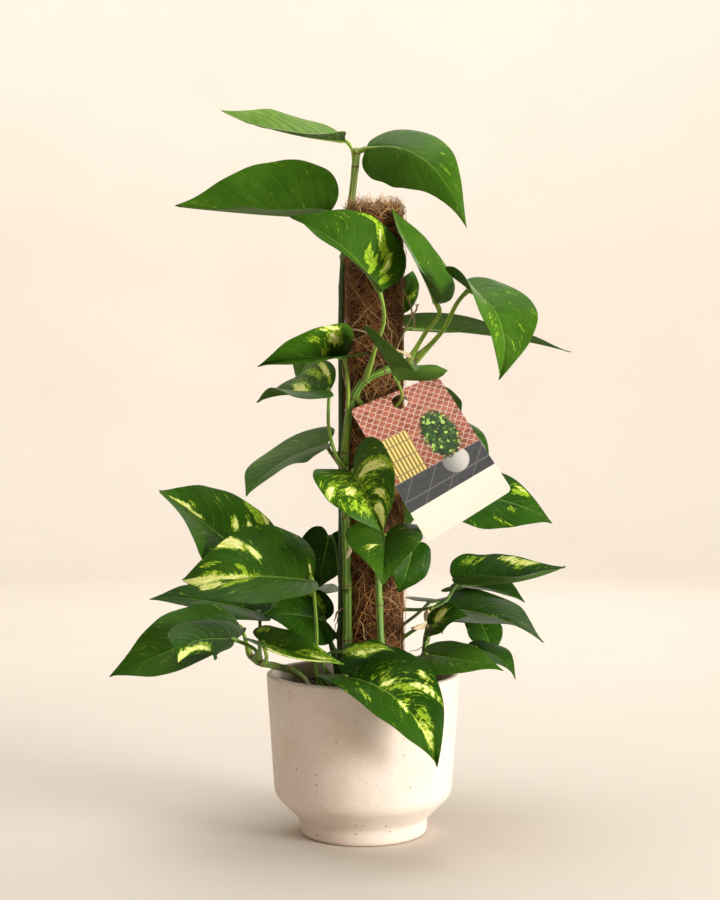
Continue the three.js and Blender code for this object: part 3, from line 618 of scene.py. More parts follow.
def fibres_out(net, curves, thickness, material):
    """Round fibres along the curves, thinner to both ends, as the tree's real mesh."""
    part = net.add("GeometryNodeSplineParameter").outputs["Factor"]
    ends = net.times(net.times(part, net.minus(1.0, part)), 4.0)
    own = net.plus(0.6, net.times(named(net, "shade", "FLOAT"), 0.6))
    scale = net.times(net.math("POWER", ends, 0.4), own)
    ring = net.add("GeometryNodeCurvePrimitiveCircle", {"Resolution": 3, "Radius": thickness})
    body = net.add(
        "GeometryNodeCurveToMesh",
        {"Curve": curves, "Profile Curve": ring.outputs[0], "Scale": scale, "Fill Caps": True},
    ).outputs[0]
    real = net.add("GeometryNodeRealizeInstances", {"Geometry": body}).outputs[0]
    done = net.add("GeometryNodeSetMaterial", {"Geometry": real, "Material": material}).outputs[0]
    net.add("NodeGroupOutput", {0: done})


def wound_tree():
    """Fibres laid flat every way on an unrolled sleeve, then rolled round the pole's axis."""
    tree, net, given = new_nodes(
        "wound_fibres",
        {
            "Count": ("Int", 1000), "Radius": ("Float", 0.023), "Height": ("Float", 0.4),
            "Foot": ("Float", 0.1), "Length": ("Float", 0.06), "Thickness": ("Float", 0.0002),
            "Loft": ("Float", 0.001), "Axis": ("Vector", None), "Seed": ("Int", 1),
            "Material": ("Material", None),
        },
    )
    seed, radius = given["Seed"], given["Radius"]
    wide = net.times(radius, 2 * math.pi)
    high = net.join(wide, given["Height"], given["Loft"])
    at = random_value(net, "FLOAT_VECTOR", (0, 0, 0), high, net.plus(seed, 1))
    points = net.add("GeometryNodePoints", {"Count": given["Count"], "Position": at}).outputs[0]
    rest = ((0, -0.02, -1.5), (0, 0.02, 1.5))
    curves = fibre_curves(net, points, given["Length"], seed, 12, rest)
    reach = net.join(0.020, 0.020, net.times(given["Loft"], 2.4))
    curves = kinked(net, curves, 42.0, reach)
    x, y, z = net.split(net.add("GeometryNodeInputPosition").outputs[0])
    turn = net.math("DIVIDE", x, radius)
    out = net.plus(radius, net.math("ABSOLUTE", z))
    y = net.math("MINIMUM", net.math("MAXIMUM", y, 0.003), net.plus(given["Height"], 0.004))
    rolled = net.join(
        net.times(net.math("COSINE", turn), out),
        net.times(net.math("SINE", turn), out),
        net.plus(y, given["Foot"]),
    )
    rolled = net.vector("ADD", rolled, given["Axis"])
    curves = net.add("GeometryNodeSetPosition", {"Geometry": curves, "Position": rolled}).outputs[0]
    fibres_out(net, curves, given["Thickness"], given["Material"])
    return tree


def frayed_tree():
    """Loose ends that stand up out of the sleeve's top and curl over."""
    tree, net, given = new_nodes(
        "frayed_ends",
        {
            "Count": ("Int", 300), "Radius": ("Float", 0.022), "Foot": ("Float", 0.51),
            "Length": ("Float", 0.02), "Thickness": ("Float", 0.0002), "Axis": ("Vector", None),
            "Seed": ("Int", 1), "Material": ("Material", None),
        },
    )
    seed = given["Seed"]
    turn = random_value(net, "FLOAT", 0.0, 2 * math.pi, net.plus(seed, 1))
    share = net.math("SQRT", random_value(net, "FLOAT", 0.2, 1.0, net.plus(seed, 4)))
    out = net.times(given["Radius"], share)
    at = net.join(
        net.times(net.math("COSINE", turn), out),
        net.times(net.math("SINE", turn), out),
        given["Foot"],
    )
    at = net.vector("ADD", at, given["Axis"])
    points = net.add("GeometryNodePoints", {"Count": given["Count"], "Position": at}).outputs[0]
    rest = ((0, -2.5, -3.1), (0, -0.6, 3.1))
    curves = fibre_curves(net, points, given["Length"], seed, 12, rest)
    curves = kinked(net, curves, 95.0, (0.026, 0.026, 0.018))
    x, y, z = net.split(net.add("GeometryNodeInputPosition").outputs[0])
    floor = net.math("MAXIMUM", z, net.minus(given["Foot"], 0.012))
    curves = net.add(
        "GeometryNodeSetPosition", {"Geometry": curves, "Position": net.join(x, y, floor)}
    ).outputs[0]
    fibres_out(net, curves, given["Thickness"], given["Material"])
    return tree


def make_fibres():
    brown = ((0.078, 0.030, 0.008), (0.27, 0.108, 0.030), (0.47, 0.22, 0.064))
    golden = ((0.16, 0.070, 0.020), (0.42, 0.21, 0.070), (0.66, 0.42, 0.17))
    material = coir_material("coir_fibre", *brown)
    frayed_material = coir_material("coir_golden", *golden)
    axis = (POLE_AXIS[0] * MM, POLE_AXIS[1] * MM, 0)
    height = (COIR_TOP - COIR_FOOT) * MM
    shared = {"Foot": COIR_FOOT * MM, "Height": height, "Axis": axis, "Material": material}
    wound = wound_tree()
    varied = ("Count", "Radius", "Length", "Thickness", "Loft", "Seed")
    layers = {
        "coir_wound_fine": (2300, 0.0229, 0.055, 0.00019, 0.0010, 11),
        "coir_wound_coarse": (1500, 0.0233, 0.08, 0.00030, 0.0012, 61),
        "coir_strays": (170, 0.0240, 0.07, 0.00026, 0.0030, 95),
    }
    for name, values in layers.items():
        made = gathered(name, wound, {**shared, **dict(zip(varied, values))})
        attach(made, "root")
    settings = {
        "Count": 560, "Radius": 0.0225, "Foot": (COIR_TOP - 1) * MM, "Length": 0.032,
        "Thickness": 0.00027, "Axis": axis, "Seed": 31, "Material": frayed_material,
    }
    frayed = gathered("coir_frayed_top", frayed_tree(), settings)
    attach(frayed, "root")


make_stake()
make_sleeve()
make_fibres()

# ---- Vines ----
# Green climbing stems, ridged along their length, thicker and ringed with a brown scar where a leaf
# grows, darker and corky low down. Short brown roots grow out of them; some hold to the coir.
# A route is a list of points, a root one more that grows out of it, and grows is the share by which
# the radius changes up to the vine's end.
VINES = {
    "main": {
        "radius": 3.9,
        "route": [
            (-13, -22, 90), (-13, -17, 150), (-13, -15, 200), (-14, -14.5, 250), (-15, -13, 300),
            (-13, -15, 335), (-7, -19.5, 358), (1, -23, 371), (14, -24.5, 378), (28, -22, 383),
            (43, -19, 388),
        ],
        "roots": [
            [(-13, -15, 188), (-21, -19, 182), (-24, -24, 176)],
            [(2, -23, 371), (10, -26, 382), (17, -25, 386)],
        ],
    },
    "tall": {
        "radius": 2.7, "grows": 0.12,
        "route": [
            (-24, 24, 90), (-19, 18, 160), (-18, 16, 260), (-18, 16, 360), (-18, 16, 430),
            (-16, 21, 480), (-11.5, 26, 514), (-8, 26, 542), (-5, 24, 570),
        ],
    },
    "front": {
        "radius": 3.2,
        "route": [(15, -44, 90), (14.5, -39, 150), (13, -36, 195), (12, -34, 228)],
        "roots": [[(14, -38, 160), (22, -38, 152), (27, -41, 140)]],
    },
    "left": {
        "radius": 3.0,
        "route": [
            (-36, -22, 92), (-42, -22, 118), (-54, -24, 134), (-70, -26, 139.5), (-84, -28, 143),
            (-92, -28, 149),
        ],
    },
    "near": {
        "radius": 2.8,
        "route": [(-22, -38, 92), (-25, -42, 112), (-27, -46, 125), (-26, -51, 135)],
    },
    "right": {
        "radius": 3.0,
        "route": [(46, -16, 92), (49, -16, 130), (52, -15, 160), (57, -12, 186)],
        "roots": [
            [(50, -16, 140), (58, -18, 150), (66, -14, 158)],
            [(49, -16, 128), (42, -22, 140), (34, -26, 152)],
        ],
    },
    "back": {
        "radius": 3.2,
        "route": [
            (26, 44, 90), (22, 38, 160), (18, 35.5, 220), (14, 35, 280), (8, 35, 340), (3, 35, 395),
            (1, 36, 428),
        ],
    },
}


def unit(v):
    return v / np.maximum(np.linalg.norm(v, axis=-1, keepdims=True), 1e-9)


def run_of(path):
    """How far along a path each of its points lies."""
    return np.r_[0, np.cumsum(np.linalg.norm(np.diff(path, axis=0), axis=1))]


def tangents_of(path, closed):
    return unit(np.roll(path, -1, 0) - np.roll(path, 1, 0) if closed else np.gradient(path, axis=0))


def curve_at(points, where, closed=False):
    """Points of the smooth curve through points; where counts the points, from 0."""
    points = np.asarray(points, float)
    count = len(points)
    before, after = 2 * points[0] - points[1], 2 * points[-1] - points[-2]
    if closed:
        before, after = points[-1], points[0]
    padded = np.vstack([before, points, after, points[1] if closed else after])
    where = np.asarray(where, float)
    first = np.clip(np.floor(where).astype(int), 0, count - 1 if closed else count - 2)
    s = (where - first)[:, None]
    p0, p1, p2, p3 = (padded[first + k] for k in range(4))
    t1, t2 = (p2 - p0) / 2, (p3 - p1) / 2
    return p1 + s * t1 + s * s * (3 * (p2 - p1) - 2 * t1 - t2) + s**3 * (2 * (p1 - p2) + t1 + t2)


def swept(path, radii, sides, flutes=None, closed=False):
    """Points, faces and (along, turn, radius) of a tube with blunt ends: path and radii run together,
    and flutes gives the share by which the radius changes at each side."""
    path = np.asarray(path, float)
    tangents = tangents_of(path, closed)
    normal = unit(np.cross(tangents[0], (0.3, 0.9, 0.2)))
    points, place, rows = [], [], []
    turns = np.arange(sides) * 2 * math.pi / sides
    shape = np.ones(sides) if flutes is None else np.asarray(flutes)
    run = run_of(path)
    for centre, tangent, radius, along in zip(path, tangents, radii, run):
        normal = unit(normal - tangent * (normal @ tangent))
        other = np.cross(tangent, normal)
        ring = np.cos(turns)[:, None] * normal + np.sin(turns)[:, None] * other
        rows.append(range(len(points), len(points) + sides))
        points += list(centre + ring * (radius * shape)[:, None])
        place += [(along, turn, radius) for turn in turns]
    faces = []
    for low, high in zip(rows, rows[1:] + rows[:1] if closed else rows[1:]):
        faces += [(low[i], low[(i + 1) % sides], high[(i + 1) % sides], high[i]) for i in range(sides)]
    ends = () if closed else ((0, -1), (-1, 1))
    for end, way in ends:
        row, radius = rows[end], radii[end]
        middle = np.mean([points[i] for i in row], axis=0)
        tip = len(points)
        points.append(middle + way * tangents[end] * radius * 0.5)
        place.append((run[end], 0, radius))
        for i in range(sides):
            a, b = row[i], row[(i + 1) % sides]
            faces.append((b, a, tip) if way < 0 else (a, b, tip))
    return points, faces, place


class Bundle:
    """Several shells gathered into one object, each with its material and a place attribute."""

    def __init__(self):
        self.points, self.faces, self.place, self.slots = [], [], [], []

    def add(self, points, faces, place, slot=0):
        first = len(self.points)
        self.points += [tuple(p) for p in points]
        self.place += [tuple(p) for p in place]
        self.faces += [tuple(i + first for i in face) for face in faces]
        self.slots += [slot] * len(faces)

    def make(self, name, materials, attribute):
        made = add_object(name, self.points, self.faces, *materials)
        made.data.polygons.foreach_set("material_index", self.slots)
        store(made, attribute, "FLOAT_VECTOR", self.place)
        return made


def ridge_group():
    """Fine ridges along a stem, from its turn and its length: a mask and a height."""
    tree, net, given = new_group(
        "stem_ridges",
        {"Turn": ("Float", 0.0), "Along": ("Float", 0.0), "Ridges": ("Float", 7.0)},
        {"Mask": ("Float", None), "Height": ("Float", None)},
    )
    bent = net.noise(net.join(given["Turn"], net.times(given["Along"], 0.05), 0.0), 3.0)
    phase = net.plus(net.times(given["Turn"], given["Ridges"]), net.times(bent, 4.0))
    wave = net.math("SINE", phase)
    height = net.plus(net.times(wave, 0.5), 0.5)
    net.add("NodeGroupOutput", {0: net.step(height, 0.45, 0.95), 1: height})
    return tree


RIDGES = ridge_group()


def stem_material(name, tones):
    """Reads stem_place: length along the stem in millimetres, turn round it, and ring (0 to 1)."""
    material, net, shader = new_material(name, Specular_IOR_Level=0.45)
    along, turn, ring = net.split(net.attribute("stem_place")["Vector"])
    z = net.split(net.place())[2]
    ridges = net.group(RIDGES, Turn=turn, Along=along, Ridges=7.0)
    cloud = net.group(MOTTLE, Vector=net.place(), Scale=140.0, Detail=4.0, Low=0.35, High=0.65)
    green = net.mix(ridges["Mask"], *tones)
    newest = net.mix(ridges["Mask"], (0.20, 0.32, 0.05), (0.36, 0.50, 0.13))
    green = net.mix(net.step(z, 0.46, 0.51), green, newest)
    dark = net.mix(cloud["Mask"], (0.045, 0.060, 0.014), (0.095, 0.085, 0.028))
    lifted = net.plus(z, net.times(cloud["Height"], 0.10))
    colour = net.mix(net.step(lifted, 0.155, 0.225), dark, green)
    fleck = net.group(SPECK, Vector=net.place(), Scale=420.0, Size=0.25, Share=0.25)["Mask"]
    colour = net.wash(colour, fleck, 0.35, (0.10, 0.05, 0.02))
    colour = net.mix(net.step(ring, 0.35, 0.9), colour, (0.14, 0.065, 0.030))
    height = net.plus(ridges["Height"], net.times(cloud["Height"], 0.6))
    rough = net.step(cloud["Height"], 0.3, 0.7, 0.38, 0.6)
    feed(net, shader, Base_Color=colour, Roughness=rough, Normal=net.bump(height, 0.35, 0.0005))
    return material


def root_material():
    """Dull brown, with fine rings across its length."""
    material, net, shader = new_material("aerial_root", Specular_IOR_Level=0.25)
    along = net.split(net.attribute("stem_place")["Vector"])[0]
    cloud = net.group(MOTTLE, Vector=net.place(), Scale=500.0, Detail=3.0, Low=0.35, High=0.65)
    colour = net.mix(cloud["Mask"], (0.055, 0.030, 0.016), (0.16, 0.095, 0.050))
    ripple = net.math("SINE", net.times(along, 5.0))
    feed(net, shader, Base_Color=colour, Roughness=net.step(cloud["Height"], 0.3, 0.7, 0.6, 0.85))
    feed(net, shader, Normal=net.bump(net.plus(ripple, cloud["Height"]), 0.4, 0.0002))
    return material


def husk_material():
    """Reads stem_place: share along the sheath, and place across it from -1 to 1."""
    material, net, shader = new_material("dry_sheath", Roughness=0.7, Specular_IOR_Level=0.25)
    along, across, _ = net.split(net.attribute("stem_place")["Vector"])
    fibre = net.noise(net.join(net.times(along, 0.02), net.times(across, 3.0), 0.0), 6.0, 3.0)
    colour = net.mix(net.step(fibre, 0.3, 0.7), (0.60, 0.47, 0.27), (0.82, 0.72, 0.50))
    colour = net.mix(net.step(along, 0.6, 1.0), colour, (0.46, 0.32, 0.17))
    feed(net, shader, Base_Color=colour, Normal=net.bump(fibre, 0.4, 0.0003))
    return material


STEM = stem_material("vine_stem", ((0.080, 0.175, 0.014), (0.19, 0.35, 0.036)))
TALL_STEM = stem_material("vine_stem_tall", ((0.032, 0.080, 0.017), (0.075, 0.150, 0.030)))
ROOT, HUSK = root_material(), husk_material()
# Where each vine is ringed, counted in points of its route.
RINGS = {
    "main": [1.2, 2.1, 3.2, 4.0, 4.35, 6.0, 7.1, 8.3, 9.65, 9.95],
    "tall": [0.6, 0.95, 1.5, 2.5, 3.6, 4.4, 5.3, 6.4, 7.5, 7.9],
    "front": [1.2, 1.9, 2.5, 2.9],
    "left": [1.5, 2.5, 3.1, 3.7, 4.1, 4.5, 4.95],
    "near": [1.2, 2.3, 2.95],
    "right": [1.3, 2.02, 2.9],
    "back": [0.5, 0.87, 1.3, 2.0, 2.6, 3.0, 3.8, 4.5, 4.9, 5.3, 5.92],
}


# noise_vector draws its offsets at random, so the wobble of stems and roots starts from a fixed seed.
noise.seed_set(7)


def make_vines():
    sides = 26
    turns = np.arange(sides) * 2 * math.pi / sides
    for number, (name, vine) in enumerate(VINES.items()):
        route = vine["route"]
        steps = 14 * (len(route) - 1)
        where = np.linspace(0, len(route) - 1, steps + 1)
        run = run_of(curve_at(route, where))
        at = np.interp(RINGS[name], where, run)
        # Extra points round each ring, so that its swelling and scar are round.
        fine = np.unique(np.r_[run, *(at + k for k in (-5, -3, -1.5, -0.7, 0, 0.7, 1.5, 3, 5))])
        fine = fine[(fine >= 0) & (fine <= run[-1])]
        path = curve_at(route, np.interp(fine, run, where))
        away = fine[:, None] - at[None, :]
        swelling = 0.16 * np.exp(-((away / 4.0) ** 2)).max(1)
        scar = np.exp(-(((away + 1.2) / 0.9) ** 2)).max(1)
        taper = 1 + vine.get("grows", -0.22) * fine / fine[-1]
        radii = vine["radius"] * (taper + swelling - 0.05 * scar)
        flutes = 1 + 0.035 * np.cos(5 * turns + number) + 0.02 * np.cos(8 * turns + 2 * number)
        points, faces, place = swept(path, radii, sides, flutes)
        points = [Vector(p) + noise.noise_vector(Vector(p) / 7) * 0.22 for p in points]
        rings = np.interp([p[0] for p in place], fine, scar)
        bundle = Bundle()
        bundle.add(points, faces, [(p[0], p[1], r) for p, r in zip(place, rings)], 0)
        for k, root in enumerate(vine.get("roots", [])):
            along = np.linspace(0, len(root) - 1, 22)
            line = curve_at(root, along)
            wiggle = [noise.noise_vector(Vector(p) / 5 + Vector((k, number, 0))) for p in line]
            line = line + np.array(wiggle) * (along / along[-1])[:, None] * 1.4
            thin = 0.95 - 0.6 * (along / along[-1]) ** 2
            bundle.add(*swept(line, thin, 10), 1)
        bark = TALL_STEM if name == "tall" else STEM
        stem = bundle.make("vine_" + name + "_stem", (bark, ROOT), "stem_place")
        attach(stem, "root")
        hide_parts("vine_" + name)


def make_wiry_roots():
    """Thin dark roots that hang loose from the low stems, and reach for the pole and the soil."""
    starts = [
        # start, end, sag
        ((49, -17, 138), (33, -17, 118), 4), ((50, -16, 146), (36, -22, 124), 3),
        ((52, -16, 158), (38, -14, 150), 2), ((14, -39, 140), (24, -44, 119), 2),
        ((-13, -16, 170), (-21, -22, 150), 3), ((-13, -17, 150), (-24, -26, 120), 3),
        ((-13, -16, 210), (-12, -22, 196), 1), ((-42, -22, 118), (-36, -30, 115), 1),
        ((-54, -24, 134), (-50, -30, 117), 2), ((19, 36, 200), (24, 46, 178), 3),
        ((22, 38, 160), (32, 48, 118), 3), ((-19, 18, 180), (-28, 24, 158), 3),
        ((-14, -15, 262), (-9, -17, 250), 1), ((14.5, -39, 128), (8, -44, 117), 1),
    ]
    bundle = Bundle()
    for k, (start, end, sag) in enumerate(starts):
        start, end = np.array(start, float), np.array(end, float)
        s = np.linspace(0, 1, 26)[:, None]
        line = start * (1 - s) + end * s + np.array([0, 0, -4.0 * sag]) * s * (1 - s)
        wiggle = np.array([noise.noise_vector(Vector(p) / 4 + Vector((7 * k, 0, 0))) for p in line])
        line = line + wiggle * np.sin(math.pi * s) * 2.2
        bundle.add(*swept(line, 0.42 - 0.22 * s[:, 0], 7), 0)
    roots = bundle.make("wiry_roots", (ROOT,), "stem_place")
    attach(roots, "root")


def grid_faces(rows, columns):
    """The faces between the points of a grid, which are counted row by row."""
    corners = [i * columns + j for i in range(rows - 1) for j in range(columns - 1)]
    return [(k, k + 1, k + columns + 1, k + columns) for k in corners]


def two_sided(faces, rim, count):
    """The faces of a thin shell: faces, the same on copies count points on, and a wall along rim."""
    back = [tuple(k + count for k in face[::-1]) for face in faces]
    return faces + back + [(a, b, b + count, a + count) for a, b in rim]


def across_grid(grid):
    """The unit vectors square to a grid of points."""
    return unit(np.cross(np.gradient(grid, axis=1), np.gradient(grid, axis=0)))


def make_husks():
    """Papery sheaths, dried to pale brown, that stay on the rings after a leaf has opened."""
    bundle = Bundle()
    places = [
        # foot, direction, length, width, turn
        ((52.6, -16.4, 173), (0.05, -0.4, 0.9), 15, 10, 0.2),
        ((52.6, -16.4, 174), (-0.8, -0.45, -0.4), 14, 8, 1.4),
        ((53.4, -16.6, 173), (0.85, -0.4, -0.25), 14, 9, 2.2),
        ((52.6, -16.4, 172), (0.1, -0.6, -0.8), 12, 8, 0.8),
        ((-14, -18, 226), (0.35, -0.5, 0.85), 15, 5, 0.4),
        ((41, -22, 388), (-0.7, -0.3, 0.55), 18, 5, 0.9),
        ((-19, 15, 300), (-0.5, -0.5, 0.8), 16, 4, 0.1),
    ]
    for foot, way, length, width, turn in places:
        foot, way = np.array(foot, float), unit(np.array(way, float))
        side = unit(np.cross(way, (math.sin(turn), math.cos(turn), 0.3)))
        out = np.cross(side, way)
        rows, columns = 15, 7
        front, place = [], []
        for s in (i / (rows - 1) for i in range(rows)):
            half = width / 2 * (0.35 + 1.3 * s * (1 - s) ** 0.6) * (1 - s**4)
            for u in (2 * j / (columns - 1) - 1 for j in range(columns)):
                curl = out * (2.2 * u * u * (0.4 + s) - 5.0 * s * s + 0.5 * math.sin(9 * s + 3 * u + turn))
                front.append(foot + way * length * s + side * half * u + curl)
                place.append((s, u, 0))
        grid = np.array(front).reshape(rows, columns, 3)
        thick = across_grid(grid) * 0.12
        points = np.vstack([(grid + thick).reshape(-1, 3), (grid - thick).reshape(-1, 3)])
        last = (rows - 1) * columns
        rim = [(j + 1, j) for j in range(columns - 1)]
        rim += [(last + j, last + j + 1) for j in range(columns - 1)]
        for k in range(0, last, columns):
            rim += [(k, k + columns), (k + 2 * columns - 1, k + columns - 1)]
        bundle.add(points, two_sided(grid_faces(rows, columns), rim, len(front)), place * 2)
    husks = outward(bundle.make("dry_sheaths", (HUSK,), "stem_place"))
    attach(husks, "root")


make_vines()
make_wiry_roots()
make_husks()

